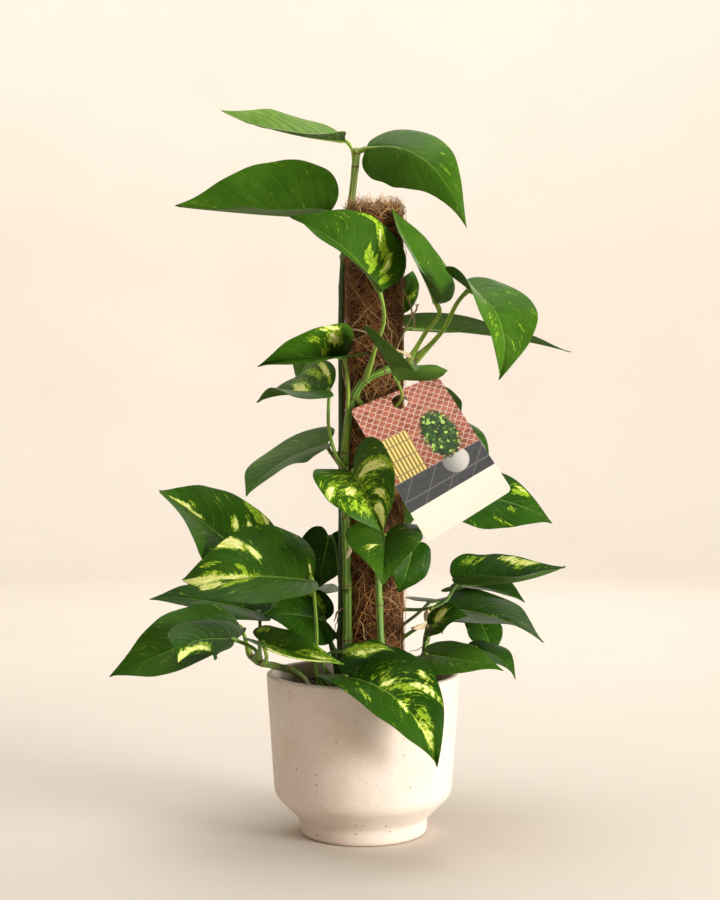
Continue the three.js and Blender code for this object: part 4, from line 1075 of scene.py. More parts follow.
# ---- Leaves ----
# Waxy heart-shaped blades on long petioles, folded a little along the midrib and drawn to a drip tip.
# Pale side veins run out from the midrib; streaks of cream and lime follow them on some leaves.
# at counts the points of the vine's route. From there the petiole, with stalk as its radius, runs by
# way of via to the blade's base. up is the side that the sun sees, arch and bow are how far the
# midrib leaves its chord upwards and sideways, and fold and twist are in degrees. curl is a share of
# half the width, and lobe, how far the lobes reach back past the base, a share of the length.
USUAL = dict(
    up=(0, -0.6, 0.8), width=64, fold=16, curl=0.16, arch=6, bow=0, twist=0, droop=4, wave=1.2,
    lobe=0.15, stalk=1.8, via=[],
)
LEAVES = {
    # out over the top of the pole
    "top_young": dict(
        vine="tall", at=7.5, via=[(-9, 23.5, 569)], base=(-14.2, 22.6, 576.4),
        tip=(-117.5, -9.8, 594.3), up=(0.26, -0.32, 0.91), width=58, fold=22, curl=0.03,
        arch=-4.5, bow=0.9, twist=-53, droop=-1, lobe=-0.03, wave=1.6, stalk=1.6,
    ),
    "top_right": dict(
        vine="tall", at=7.9, base=(3.5, 21, 569.5), tip=(84.3, -27, 494.1),
        up=(-0.19, -0.91, 0.37), width=58, fold=-9, curl=0.31, arch=22.9, bow=-15.6, twist=-7,
        droop=-1, lobe=0.02,
    ),
    "top_left": dict(
        vine="tall", at=5.3, via=[(-25, 22, 504)], base=(-31, 14.9, 511.4),
        tip=(-158.9, 18.3, 521), up=(0.04, -0.67, 0.75), width=99, fold=38, curl=0.02, arch=-3.1,
        bow=2.4, twist=-1, droop=0, lobe=0.07,
    ),
    "pole_top": dict(
        vine="main", at=7.1, via=[(9, -31, 394), (17, -37, 420)], base=(13.3, -42.4, 441.6),
        tip=(-58.8, -45.2, 500.1), up=(0.55, -0.53, 0.65), width=90, fold=25, curl=-0.01,
        arch=8.3, bow=2.8, twist=-23, droop=-1, lobe=0.01, stalk=2.1,
    ),
    "upper_fold": dict(
        vine="main", at=9.6, via=[(50, -18, 409), (62, -17, 425)], base=(60.5, -19.3, 433.7),
        tip=(21.2, -12.6, 510.7), up=(0.84, -0.29, 0.46), width=82, fold=15, curl=-0.03,
        arch=1.8, bow=-1.3, twist=-25, droop=-5, lobe=0, wave=2.4, stalk=2.3,
    ),
    "behind_small": dict(
        vine="back", at=5.9, via=[(18, 40, 426)], base=(31.4, 37, 439.6),
        tip=(44.3, 40.6, 471.3), up=(0.28, -0.96, 0), width=23, fold=19, arch=4.4, bow=0.1,
        twist=-2,
    ),
    "behind_long": dict(
        vine="back", at=5.3, via=[(22, 44, 408)], base=(39.1, 45.9, 420.2),
        tip=(183, 63.2, 401.7), up=(0.11, 0.15, 0.98), width=68, curl=0.11, arch=5.6, bow=-5,
        twist=21, droop=1, lobe=0.1,
    ),
    "right_hanging": dict(
        vine="main", at=9.95, via=[(64, -19, 411), (77, -20, 435)], base=(87, -22.7, 445.6),
        tip=(109.8, -49.2, 369), up=(0.61, -0.68, 0.42), width=73, fold=27, curl=0.08, arch=19,
        bow=0.8, twist=29, droop=5, lobe=0.16, stalk=2.4,
    ),
    # round the middle of the pole
    "mid_upper_left": dict(
        vine="main", at=4.3, via=[(-13, -27, 339), (-12, -36, 366)], base=(-15.2, -39.6, 389.1),
        tip=(-85.7, -63.9, 381), up=(0.24, -0.86, 0.46), width=56, fold=58, curl=-0.01,
        arch=13.8, bow=-4.2, twist=-26, droop=5, lobe=0.07,
    ),
    "mid_under_left": dict(
        vine="main", at=4, via=[(-22.5, -28, 312), (-28, -26.5, 335)],
        base=(-27.6, -25.9, 362.8), tip=(-88.6, -13.2, 358.3), up=(-0.15, -0.4, 0.9), width=74,
        fold=24, curl=0.11, arch=1.4, bow=-1.3, twist=35, lobe=0.08,
    ),
    "mid_narrow": dict(
        vine="main", at=6, via=[(8, -27, 345), (21, -25, 347), (31, -37, 357)],
        base=(26.8, -55.2, 370.5), tip=(41.1, -106.2, 375.2), up=(0.49, 0.22, 0.84), width=85,
        fold=30, curl=0, arch=-0.3, bow=10.9, twist=13, droop=1, lobe=0.07, stalk=1.5,
    ),
    "mid_left": dict(
        vine="tall", at=2.5, via=[(-26, 10, 312)], base=(-30.8, 6.4, 320),
        tip=(-96.9, -18.6, 278.3), up=(-0.43, -0.28, 0.86), width=88, fold=13, curl=0.14,
        arch=3.6, bow=11.5, droop=2, lobe=0.08,
    ),
    "centre_heart": dict(
        vine="main", at=3.2, via=[(-12, -32, 272)], base=(-8.6, -56.5, 297.4),
        tip=(16.1, -81.5, 249.2), up=(-0.16, -0.91, 0.39), width=77, fold=38, curl=0.03,
        arch=10.8, bow=-1.6, twist=6, droop=3, lobe=0.1,
    ),
    "behind_tag": dict(
        vine="main", at=9.7, via=[(50, -6, 368), (60, -4, 350)], base=(67, -8, 342),
        tip=(106, -20, 312), up=(0.6, -0.3, 0.7), width=36, arch=4, lobe=0.06,
    ),
    "right_behind_tag": dict(
        vine="back", at=3, via=[(38, 22, 272), (48, 4, 276)], base=(58.5, -15.4, 281.6),
        tip=(160, -3.4, 256.9), up=(0.26, -0.55, 0.8), width=79, fold=7, curl=0.14, arch=7.4,
        bow=1.4, twist=17, droop=5,
    ),
    "low_heart": dict(
        vine="front", at=2.9, base=(17, -47, 246), tip=(15, -94, 214), up=(0, -0.5, 0.86),
        width=68, fold=28, curl=0.2, arch=5, lobe=0.3,
    ),
    "low_dark_right": dict(
        vine="front", at=2.5, via=[(28, -30, 222)], base=(40, -28, 236), tip=(29, -30, 198),
        up=(0.3, -0.95, 0.1), width=36, arch=3,
    ),
    "low_dark_left": dict(
        vine="tall", at=1.5, via=[(-24, 24, 238)], base=(-29, 31, 241), tip=(-38, 35, 196),
        up=(-0.2, -0.95, 0.1), width=46, fold=12, arch=3,
    ),
    # low on the left, out past the rim
    "left_back": dict(
        vine="tall", at=0.95, via=[(-56, 14, 186)], base=(-96.1, 7.3, 224.8),
        tip=(-167.4, -22.7, 281.7), up=(0.65, -0.54, 0.54), width=95, fold=18, curl=0.11,
        arch=-4.5, bow=7.3, twist=9, droop=-2, lobe=0.23,
    ),
    "left_broad": dict(
        vine="near", at=1.2, via=[(-37, -42, 136), (-37, -44, 170)], base=(-40.2, -50.2, 210.7),
        tip=(-147.8, -39.1, 213.2), up=(-0.03, -0.5, 0.87), width=110, fold=23, curl=0.12,
        arch=6.1, bow=-4.2, twist=-38, droop=5, lobe=0.02,
    ),
    "left_edge_on": dict(
        vine="left", at=4, via=[(-86, 6, 160)], base=(-88, 28, 176.6), tip=(-180, 15, 192.8),
        up=(0.21, -0.4, 0.89), width=53, fold=17, curl=0.15, arch=2.9, bow=0.6, twist=-7, lobe=0.1,
    ),
    "left_low_dark": dict(
        vine="left", at=4.95, base=(-99, -22.3, 170.2), tip=(-203.8, -35.1, 131.4),
        up=(-0.25, -0.49, 0.83), width=76, curl=0.03, arch=6.1, bow=-3.4, twist=-43, droop=-2,
        lobe=0,
    ),
    "left_low_small": dict(
        vine="left", at=4.4, via=[(-86, -48, 156)], base=(-101, -64.2, 166.3),
        tip=(-139.3, -95.3, 158.1), up=(0.06, -0.32, 0.94), fold=3, curl=0.07, arch=-0.9,
        bow=15.7, twist=-23, droop=6, lobe=0.03,
    ),
    "left_inner_dark": dict(
        vine="tall", at=0.5, base=(-32, 10, 172), tip=(-82, -6, 180), up=(0, -0.8, 0.6),
        width=56, arch=4,
    ),
    "rim_left": dict(
        vine="left", at=3.7, via=[(-77, -46, 150)], base=(-79.1, -59.5, 163.1),
        tip=(-14.2, -88.3, 150.8), up=(-0.14, -0.64, 0.75), width=33, fold=43, curl=0.08,
        arch=6.4, bow=5.3, twist=26, droop=1, lobe=0.2,
    ),
    "rim_curled": dict(
        vine="near", at=2.95, via=[(-32, -56, 147), (-27, -68, 156)], base=(-14, -77, 158.5),
        tip=(26, -82, 162), up=(0, -0.45, 0.9), width=24, fold=2, arch=3, lobe=0.05, stalk=1.4,
    ),
    "rim_front": dict(
        vine="near", at=2.3, via=[(-33, -56, 136)], base=(-15.2, -73.2, 138.8),
        tip=(58.5, -101.7, 72.9), up=(0.36, -0.64, 0.68), width=79, fold=25, curl=0.07,
        arch=23.3, bow=-0.3, twist=27, droop=5, lobe=0.1,
    ),
    # low on the right
    "right_level": dict(
        vine="right", at=2.9, via=[(68, -8, 190)], base=(78.3, 2.5, 203.7),
        tip=(170.2, 10.2, 217.2), up=(-0.12, -0.24, 0.96), width=79, fold=32, curl=0.1,
        arch=-4.5, bow=2.7, twist=-2, droop=-1, lobe=0.06,
    ),
    "right_second": dict(
        vine="back", at=1.3, via=[(58, 50, 178)], base=(82.3, 55.2, 192.5),
        tip=(138.3, 26, 186.5), up=(-0.01, -0.22, 0.97), width=47, fold=26, curl=0.1, arch=5.9,
        bow=-0.6, twist=13, droop=1,
    ),
    "right_dark": dict(
        vine="right", at=2.05, via=[(61, -2, 170)], base=(74.9, 6.7, 182),
        tip=(147.3, -34, 161.4), up=(0.09, -0.31, 0.94), width=75, fold=15, curl=0.15, arch=4.6,
        bow=-2.1, twist=-25, droop=2, lobe=0.1,
    ),
    "right_small": dict(
        vine="right", at=2, via=[(52, -28, 168)], base=(55, -40, 174), tip=(82, -60, 186),
        up=(-0.1, -0.7, 0.7), width=32, arch=3, stalk=1.4,
    ),
    "right_rim": dict(
        vine="right", at=1.3, via=[(48, -32, 150)], base=(50.2, -44.7, 151.8),
        tip=(108.5, -83.3, 145.6), up=(-0.15, -0.37, 0.92), width=52, fold=9, curl=0.17, arch=4,
        bow=3.8, twist=-4, droop=1, lobe=0.11,
    ),
    "right_hung": dict(
        vine="back", at=0.8, via=[(60, 42, 168)], base=(98, 36, 172), tip=(111, 26, 138),
        up=(0.3, -0.9, 0.3), width=34, arch=4,
    ),
    "right_lowest": dict(
        vine="back", at=0.55, via=[(60, 24, 142)], base=(92, 4, 150), tip=(128, -14, 129),
        up=(0.4, -0.4, 0.8), width=36, arch=5,
    ),
    # behind the pole
    "back_high": dict(
        vine="back", at=5.95, via=[(2, 50, 450)], base=(2, 62, 484), tip=(8, 114, 462),
        up=(0, 0.5, 0.87), width=50, arch=9,
    ),
    "back_upper_right": dict(
        vine="back", at=4.5, via=[(26, 52, 358)], base=(42, 66, 366), tip=(84, 112, 326),
        up=(0.4, 0.5, 0.77), width=62, arch=9,
    ),
    "back_upper_left": dict(
        vine="back", at=4.9, via=[(-8, 54, 392)], base=(-22, 62, 408), tip=(-62, 112, 378),
        up=(-0.3, 0.5, 0.8), width=56, arch=8,
    ),
    "back_middle": dict(
        vine="back", at=2.9, via=[(18, 60, 280)], base=(20, 80, 280), tip=(30, 138, 226),
        up=(0.1, 0.6, 0.8), width=70, arch=11,
    ),
    "back_right": dict(
        vine="back", at=2.6, via=[(40, 48, 276)], base=(62, 50, 288), tip=(118, 78, 258),
        up=(0.4, 0.2, 0.9), width=54, arch=8,
    ),
    "back_low_left": dict(
        vine="tall", at=0.7, via=[(-36, 46, 170)], base=(-46, 64, 190), tip=(-94, 124, 160),
        up=(-0.3, 0.45, 0.85), width=72, arch=11,
    ),
    "back_low_right": dict(
        vine="back", at=0.95, via=[(46, 64, 170)], base=(60, 77, 181), tip=(108, 128, 148),
        up=(0.3, 0.45, 0.85), width=64, arch=10,
    ),
    "back_rim": dict(
        vine="back", at=0.5, via=[(16, 64, 146)], base=(8, 76, 156), tip=(2, 134, 106),
        up=(0, 0.6, 0.8), width=64, arch=11,
    ),
}
# Where a leaf is coloured. A patch lies at vein (0 at the petiole, 1 at the tip, counted in side veins)
# and side (-1 and 1 are the two edges), with half sizes in both, and how full it is of cream or lime.
COLOURED = {
    "pole_top": [
        ("lime", 0.33, 0.79, 0.030, 0.20, 1.2), ("lime", 0.30, 0.65, 0.036, 0.18, 1.2),
        ("cream", 0.24, 0.48, 0.026, 0.20, 0.8), ("lime", 0.15, 0.28, 0.055, 0.20, 1.2),
        ("cream", 0.33, 0.72, 0.018, 0.18, 0.7), ("lime", 0.24, 0.48, 0.036, 0.26, 1.1),
        ("lime", 0.40, 0.31, 0.022, 0.22, 1.1), ("lime", 0.33, 0.19, 0.030, 0.18, 1.1),
        ("lime", 0.37, 0.25, 0.024, 0.16, 1.1),
        ("lime", 0.37, 0.95, 0.08, 0.06, 0.8), ("lime", 0.10, 0.61, 0.07, 0.17, 0.4),
    ],
    "upper_fold": [("lime", 0.75, -0.5, 0.20, 0.5, 0.35)],
    "behind_small": [("lime", 0.35, 0.4, 0.10, 0.5, 0.8)],
    "right_hanging": [("lime", 0.45, 0.4, 0.35, 0.5, 0.30), ("lime", 0.5, -0.5, 0.35, 0.5, 0.24)],
    "mid_upper_left": [
        ("cream", 0.25, 0.89, 0.08, 0.11, 0.85), ("cream", 0.30, 0.54, 0.07, 0.19, 0.95),
        ("lime", 0.27, 0.62, 0.09, 0.34, 0.8), ("lime", 0.46, 0.64, 0.05, 0.28, 0.65),
        ("lime", 0.40, 0.15, 0.06, 0.30, 0.6),
    ],
    "mid_under_left": [
        ("cream", 0.13, 0.68, 0.07, 0.24, 0.9), ("lime", 0.27, 0.63, 0.08, 0.33, 0.8),
        ("lime", 0.11, 0.41, 0.07, 0.21, 0.6), ("cream", 0.52, 0.05, 0.10, 0.45, 0.8),
        ("lime", 0.50, 0.0, 0.18, 0.80, 0.6),
    ],
    "centre_heart": [
        ("lime", 0.45, 0.0, 0.50, 1.00, 0.50),
        ("cream", 0.34, -0.43, 0.055, 0.38, 1.2), ("lime", 0.27, -0.48, 0.066, 0.25, 0.75),
        ("lime", 0.30, -0.78, 0.07, 0.24, 0.8), ("cream", 0.33, 0.83, 0.056, 0.17, 0.8),
        ("lime", 0.34, 0.72, 0.09, 0.28, 0.65), ("cream", 0.46, 0.34, 0.06, 0.19, 0.95),
        ("lime", 0.61, 0.55, 0.08, 0.25, 0.75), ("lime", 0.69, 0.29, 0.11, 0.32, 0.7),
        ("cream", 0.60, -0.49, 0.05, 0.28, 0.75), ("cream", 0.79, -0.50, 0.10, 0.45, 0.95),
        ("lime", 0.44, -0.48, 0.06, 0.33, 0.55), ("lime", 0.61, -0.77, 0.05, 0.23, 0.75),
        ("lime", 0.22, 0.91, 0.06, 0.09, 0.7), ("lime", 0.50, 0.80, 0.10, 0.16, 0.5),
    ],
    "right_behind_tag": [
        ("cream", 0.58, -0.81, 0.04, 0.14, 0.85), ("lime", 0.62, -0.70, 0.06, 0.28, 0.8),
        ("lime", 0.71, 0.28, 0.07, 0.20, 0.45), ("lime", 0.44, 0.82, 0.05, 0.20, 0.45),
    ],
    "low_heart": [
        ("cream", 0.50, 0.40, 0.050, 0.22, 0.66), ("lime", 0.50, 0.40, 0.14, 0.34, 0.45),
        ("cream", 0.10, -0.55, 0.020, 0.20, 0.6),
    ],
    "left_back": [
        ("cream", 0.83, 0.20, 0.10, 0.10, 1.0), ("cream", 0.69, 0.11, 0.09, 0.05, 1.0),
        ("lime", 0.72, 0.35, 0.06, 0.18, 0.55), ("cream", 0.37, 0.39, 0.03, 0.16, 0.9),
        ("cream", 0.26, 0.59, 0.02, 0.09, 0.8), ("lime", 0.16, 0.86, 0.07, 0.15, 0.8),
        ("cream", 0.11, 0.92, 0.035, 0.08, 0.8),
    ],
    "left_broad": [
        ("cream", 0.53, 0.92, 0.04, 0.10, 1.2), ("cream", 0.53, 0.77, 0.036, 0.20, 1.2),
        ("cream", 0.50, 0.46, 0.028, 0.17, 1.05), ("cream", 0.83, -0.45, 0.11, 0.55, 1.2),
        ("cream", 0.66, -0.69, 0.06, 0.26, 1.1), ("cream", 0.70, -0.10, 0.11, 0.14, 1.0),
        ("lime", 0.74, 0.58, 0.06, 0.20, 0.75), ("lime", 0.67, 0.20, 0.05, 0.10, 0.65),
        ("lime", 0.58, -0.40, 0.06, 0.40, 0.75), ("lime", 0.83, 0.06, 0.07, 0.30, 0.7),
        ("cream", 0.09, 0.31, 0.022, 0.18, 0.9), ("lime", 0.46, 0.64, 0.02, 0.06, 0.5),
        ("lime", 0.64, -0.05, 0.12, 0.15, 0.7),
    ],
    "left_low_small": [
        ("cream", 0.83, -0.55, 0.10, 0.50, 1.0), ("cream", 0.62, -0.52, 0.26, 0.20, 0.95),
        ("lime", 0.58, -0.32, 0.24, 0.20, 0.8), ("cream", 0.93, 0.0, 0.07, 1.0, 0.9),
    ],
    "left_inner_dark": [("lime", 0.2, 0.6, 0.10, 0.40, 0.8)],
    # The lime on rim_left is partly its own streaks and partly painted light, lightening it where it lies in
    # shade.
    "rim_left": [
        ("lime", 0.30, 0.30, 0.24, 0.70, 0.55), ("cream", 0.50, 0.92, 0.30, 0.12, 0.9),
        ("lime", 0.03, -0.78, 0.10, 0.22, 0.75), ("lime", 0.12, 0.0, 0.14, 0.30, 0.6),
        ("cream", 0.28, 0.90, 0.12, 0.14, 0.9), ("lime", 0.69, -0.17, 0.115, 0.77, 0.6),
        ("lime", 0.59, -0.92, 0.08, 0.12, 0.7), ("cream", 0.80, 0.0, 0.10, 1.0, 0.62),
    ],
    "rim_curled": [("lime", 0.45, 0.0, 0.60, 0.80, 0.72), ("cream", 0.50, 0.5, 0.40, 0.35, 0.6)],
    "rim_front": [
        ("lime", 0.56, -0.20, 0.30, 0.60, 0.42),
        ("cream", 0.44, -0.18, 0.035, 0.17, 0.7), ("lime", 0.53, -0.34, 0.08, 0.19, 0.7),
        ("cream", 0.50, -0.69, 0.024, 0.29, 0.9), ("lime", 0.32, 0.68, 0.06, 0.15, 0.65),
        ("cream", 0.40, -0.80, 0.02, 0.07, 0.8), ("cream", 0.43, -0.83, 0.02, 0.05, 0.7),
        ("cream", 0.64, 0.04, 0.05, 0.14, 0.75), ("lime", 0.61, -0.04, 0.056, 0.23, 0.65),
        ("lime", 0.48, -0.85, 0.03, 0.15, 0.8), ("lime", 0.72, -0.30, 0.06, 0.22, 0.65),
        ("cream", 0.82, -0.10, 0.09, 0.30, 0.75), ("lime", 0.86, 0.10, 0.12, 0.50, 0.6),
    ],
    "right_level": [
        ("lime", 0.18, -0.78, 0.11, 0.22, 0.75), ("cream", 0.46, -0.85, 0.08, 0.13, 0.9),
        ("cream", 0.60, -0.76, 0.065, 0.22, 0.9), ("lime", 0.61, -0.52, 0.066, 0.12, 0.6),
        ("lime", 0.38, -0.42, 0.035, 0.05, 0.6),
    ],
    # The one lime patch on right_dark is a painted highlight along its midrib.
    "right_dark": [("lime", 0.56, 0.10, 0.12, 0.25, 0.4)],
    "right_small": [("cream", 0.40, -0.3, 0.18, 0.45, 0.85), ("lime", 0.40, 0.1, 0.30, 0.60, 0.5)],
    "back_middle": [("cream", 0.35, -0.50, 0.05, 0.45, 0.9), ("lime", 0.45, -0.50, 0.20, 0.50, 0.55)],
    "back_upper_right": [("lime", 0.30, 0.50, 0.20, 0.45, 0.65), ("cream", 0.32, 0.60, 0.03, 0.30, 0.7)],
    "back_low_left": [("cream", 0.62, 0.45, 0.08, 0.40, 0.8), ("lime", 0.55, 0.40, 0.20, 0.50, 0.5)],
    "back_rim": [("lime", 0.40, -0.45, 0.25, 0.50, 0.6), ("cream", 0.42, -0.60, 0.04, 0.30, 0.7)],
}
# How young a leaf's green is: 0 is the deepest, 1 the light green of a leaf that has just opened.
YOUNG = {
    "top_young": 1.0, "top_right": 0.40, "top_left": 0.34, "pole_top": 0.20, "upper_fold": 0.32,
    "right_hanging": 0.42, "mid_upper_left": 0.27, "mid_under_left": 0.20, "mid_narrow": 0.30,
    "mid_left": 0.36, "centre_heart": 0.22, "low_heart": 0.22, "left_broad": 0.16, "left_back": 0.12,
    "left_low_dark": 0.26, "right_rim": 0.28, "behind_long": 0.05, "behind_small": 0.3,
    # rim_left's lighter green is painted light, where it lies in shade.
    "rim_left": 0.30,
}
# Petioles that are lighter than their leaf's blade, on the same scale.
LIGHT_STALKS = {"upper_fold": 0.62, "right_hanging": 0.42, "pole_top": 0.30, "mid_upper_left": 0.36}
BLADE_THICKNESS = 0.6
SIDE_VEINS = 11
# Where a blade's columns of points lie from the midrib to its edge, closer where it is creased.
ACROSS = np.array([0.0, 0.035, 0.09, 0.17, 0.26, 0.36, 0.47, 0.58, 0.69, 0.79, 0.88, 0.95, 0.985, 1.0])


def bezier(p, s):
    """The cubic curve of four values p, at s from 0 to 1."""
    return p[0] * (1 - s) ** 3 + 3 * p[1] * s * (1 - s) ** 2 + 3 * p[2] * s * s * (1 - s) + p[3] * s**3


def outline(t, lobe):
    """A heart's edge: t runs from a lobe's back past the widest part, at 0.4, to the tip, at 1."""
    if t < 0.4:
        s = t / 0.4
        return bezier((-lobe, -lobe * 1.05, 0.06, 0.3), s), bezier((0.38, 0.8, 1, 1), s)
    s = (t - 0.4) / 0.6
    return bezier((0.3, 0.6, 0.76, 1), s), bezier((1, 1, 0.28, 0), s)


def leaf_frame(leaf):
    """The midrib bows from base to tip, with up as the side that the sun sees."""
    base = np.array(leaf["base"], float)
    chord = np.array(leaf["tip"], float) - base
    along = unit(chord)
    up = np.array(leaf["up"], float)
    up = unit(up - along * (up @ along))
    side = np.cross(along, up)
    return base, chord, up, up * 4 * leaf["arch"] + side * 4 * leaf["bow"]


def blade_points(leaf, a, across):
    """Points of the blade's middle surface: a along the midrib, across as a share of half the width."""
    base, chord, up, lift = leaf_frame(leaf)
    a, across = np.broadcast_arrays(np.asarray(a, float), np.asarray(across, float))
    inner = np.maximum(a, 0)
    bowed = np.where(a < 0, a, a * (1 - a))
    centre = base + a[..., None] * chord + bowed[..., None] * lift
    along = unit(chord + lift * (1 - 2 * inner)[..., None])
    up = unit(up - along * (along @ up)[..., None])
    side = np.cross(along, up)
    turn = (math.radians(leaf["twist"]) * (inner - 0.25))[..., None]
    up, side = up * np.cos(turn) + side * np.sin(turn), side * np.cos(turn) - up * np.sin(turn)
    half, fold = leaf["width"] / 2, math.radians(leaf["fold"])
    reach = np.abs(across)
    swing = np.sin(9 * a + np.where(across > 0, 0.6, 2.4))
    drop = leaf["droop"] * np.maximum(0, (inner - 0.6) / 0.4) ** 2
    height = half * (reach * math.sin(fold) - leaf["curl"] * reach**2)
    height = height + leaf["wave"] * reach**2 * swing - drop
    return centre + side * (half * across * math.cos(fold))[..., None] + up * height[..., None]


def smooth(value, low, high):
    s = np.clip((value - low) / (high - low), 0, 1)
    return s * s * (3 - 2 * s)


def colour_of(name, vein, side):
    """The amounts of cream and lime at points of a blade."""
    amounts = {"cream": np.zeros_like(vein), "lime": np.zeros_like(vein)}
    for kind, at_vein, at_side, half_vein, half_side, amount in COLOURED.get(name, ()):
        far = ((vein - at_vein) / half_vein) ** 2 + ((side - at_side) / half_side) ** 2
        amounts[kind] = np.maximum(amounts[kind], amount * np.exp(-(far**1.5)))
    return amounts["cream"], amounts["lime"]


def blade_shell(name, leaf, seed):
    """The blade as a thin closed shell, with what its material reads at each point."""
    length = np.linalg.norm(np.subtract(leaf["tip"], leaf["base"]))
    rows = 58 if max(length, leaf["width"]) > 50 else 40
    t = (np.arange(rows) / rows)[:, None]
    edge, reach = (np.array(v)[:, None] for v in zip(*(outline(x, leaf["lobe"]) for x in t[:, 0])))
    share = np.r_[-ACROSS[:0:-1], ACROSS][None, :]
    q = np.abs(share)
    sweep = q + 0.8 * (1 - t) ** 3 * q * (1 - q)
    rib = t**1.6
    ripple = 1 + 0.012 * np.sin(31 * t + seed) * q**4
    a, across = rib + (edge - rib) * sweep, reach * share * ripple
    grid = blade_points(leaf, a, across)
    # The side veins sweep forward from the midrib, sunk between bulging strips.
    waver = 0.016 * np.sin(5.3 * share + seed) + 0.010 * np.sin(17 * t + 2.1 * seed + 3 * share)
    vein = t - 0.06 * q - 0.13 * q**2 + waver
    bulge = np.abs(np.sin(math.pi * SIDE_VEINS * vein)) ** 0.7 - 0.6
    young = YOUNG.get(name, 0.0)
    size = leaf["width"] / USUAL["width"]
    fade = smooth(q, 0.02, 0.14) * (1 - smooth(q, 0.80, 1.0)) * smooth(1 - t, 0.02, 0.2)
    relief = bulge * fade * (0.30 + 1.10 * max(0, young - 0.6) / 0.4) * size
    # The midrib is a furrow on top and a keel underneath, and the blade is a little uneven.
    off_rib = q * reach * leaf["width"] / 2
    relief = relief - 0.55 * size * np.exp(-((off_rib / 0.9) ** 2)) * (1 - 0.7 * rib)
    uneven = 0.9 * np.sin(4.3 * a + 2.6 * across + seed)
    uneven = uneven + 0.6 * np.sin(7.9 * a - 4.1 * across + 1.7 * seed)
    relief = relief + uneven * size * q
    keel = 0.75 * size * np.exp(-((off_rib / 1.1) ** 2)) * (1 - 0.8 * rib)
    thick = BLADE_THICKNESS * (1 - 0.45 * smooth(q, 0.9, 1.0)) / 2
    normal = across_grid(grid)
    top = grid + normal * (relief + thick)[..., None]
    under = grid + normal * (relief - thick - keel)[..., None]
    # Each side ends in one point at the tip.
    columns = grid.shape[1]
    tip, lift = blade_points(leaf, 1.0, 0.0), normal[-1, columns // 2] * 0.1
    points = np.vstack([top.reshape(-1, 3), tip + lift, under.reshape(-1, 3), tip - lift])
    count = rows * columns
    last = count - columns
    faces = grid_faces(rows, columns)
    faces += [(last + j, last + j + 1, count) for j in range(columns - 1)]
    rim = [(j + 1, j) for j in range(columns - 1)]
    lefts = [*range(0, count, columns), count]
    rights = [*range(columns - 1, count, columns), count]
    rim += list(zip(lefts, lefts[1:])) + list(zip(rights[1:], rights))
    side = share + 0 * t
    cream, lime = colour_of(name, vein, side)
    place = np.stack([vein, side, 0 * vein], axis=-1).reshape(-1, 3)
    tint = np.stack([cream, lime, young + 0 * vein], axis=-1).reshape(-1, 3)
    place = np.vstack([place, (1, 0, 0)])
    tint = np.vstack([tint, tint[-columns // 2]])
    lower = place + (0, 0, 1)
    return points, two_sided(faces, rim, count + 1), np.vstack([place, lower]), np.vstack([tint, tint])


def petiole_shell(leaf):
    """The petiole grows from a sheath on its vine and runs out under the blade as its midrib."""
    vine = VINES[leaf["vine"]]
    up = leaf_frame(leaf)[2]
    start = curve_at(vine["route"], [leaf["at"]])[0]
    end = blade_points(leaf, 0.03, 0.0) - up * leaf["stalk"] * 0.5
    knots = [start, *leaf["via"], leaf["base"], end]
    stem = curve_at(knots, np.linspace(0, len(knots) - 1, 10 * (len(knots) - 1) + 1))
    rib = np.array([blade_points(leaf, a, 0.0) - up * (0.8 - a) for a in (0.09, 0.16, 0.24, 0.32)])
    path = np.vstack([stem, rib])
    run = run_of(stem)
    whole = run[-1]
    # It is thicker in the sheath at the vine, and in the knee under the blade.
    sheath = 0.75 * np.exp(-((run / max(9, 0.16 * whole)) ** 2))
    knee = 0.22 * np.exp(-(((whole - run - 5) / 4.5) ** 2))
    radii = leaf["stalk"] * (0.92 + sheath + knee - 0.16 * run / whole)
    radii = np.r_[np.minimum(radii, vine["radius"] * 0.95), leaf["stalk"] * np.array([0.62, 0.5, 0.38, 0.22])]
    sides = 14
    turns = np.arange(sides) * 2 * math.pi / sides
    flutes = 1 - 0.16 * np.exp(-((turns - math.pi) ** 2) / 0.3)
    points, faces, place = swept(path, radii, sides, flutes)
    return points, faces, [(along / whole, turn, 0) for along, turn, _ in place]


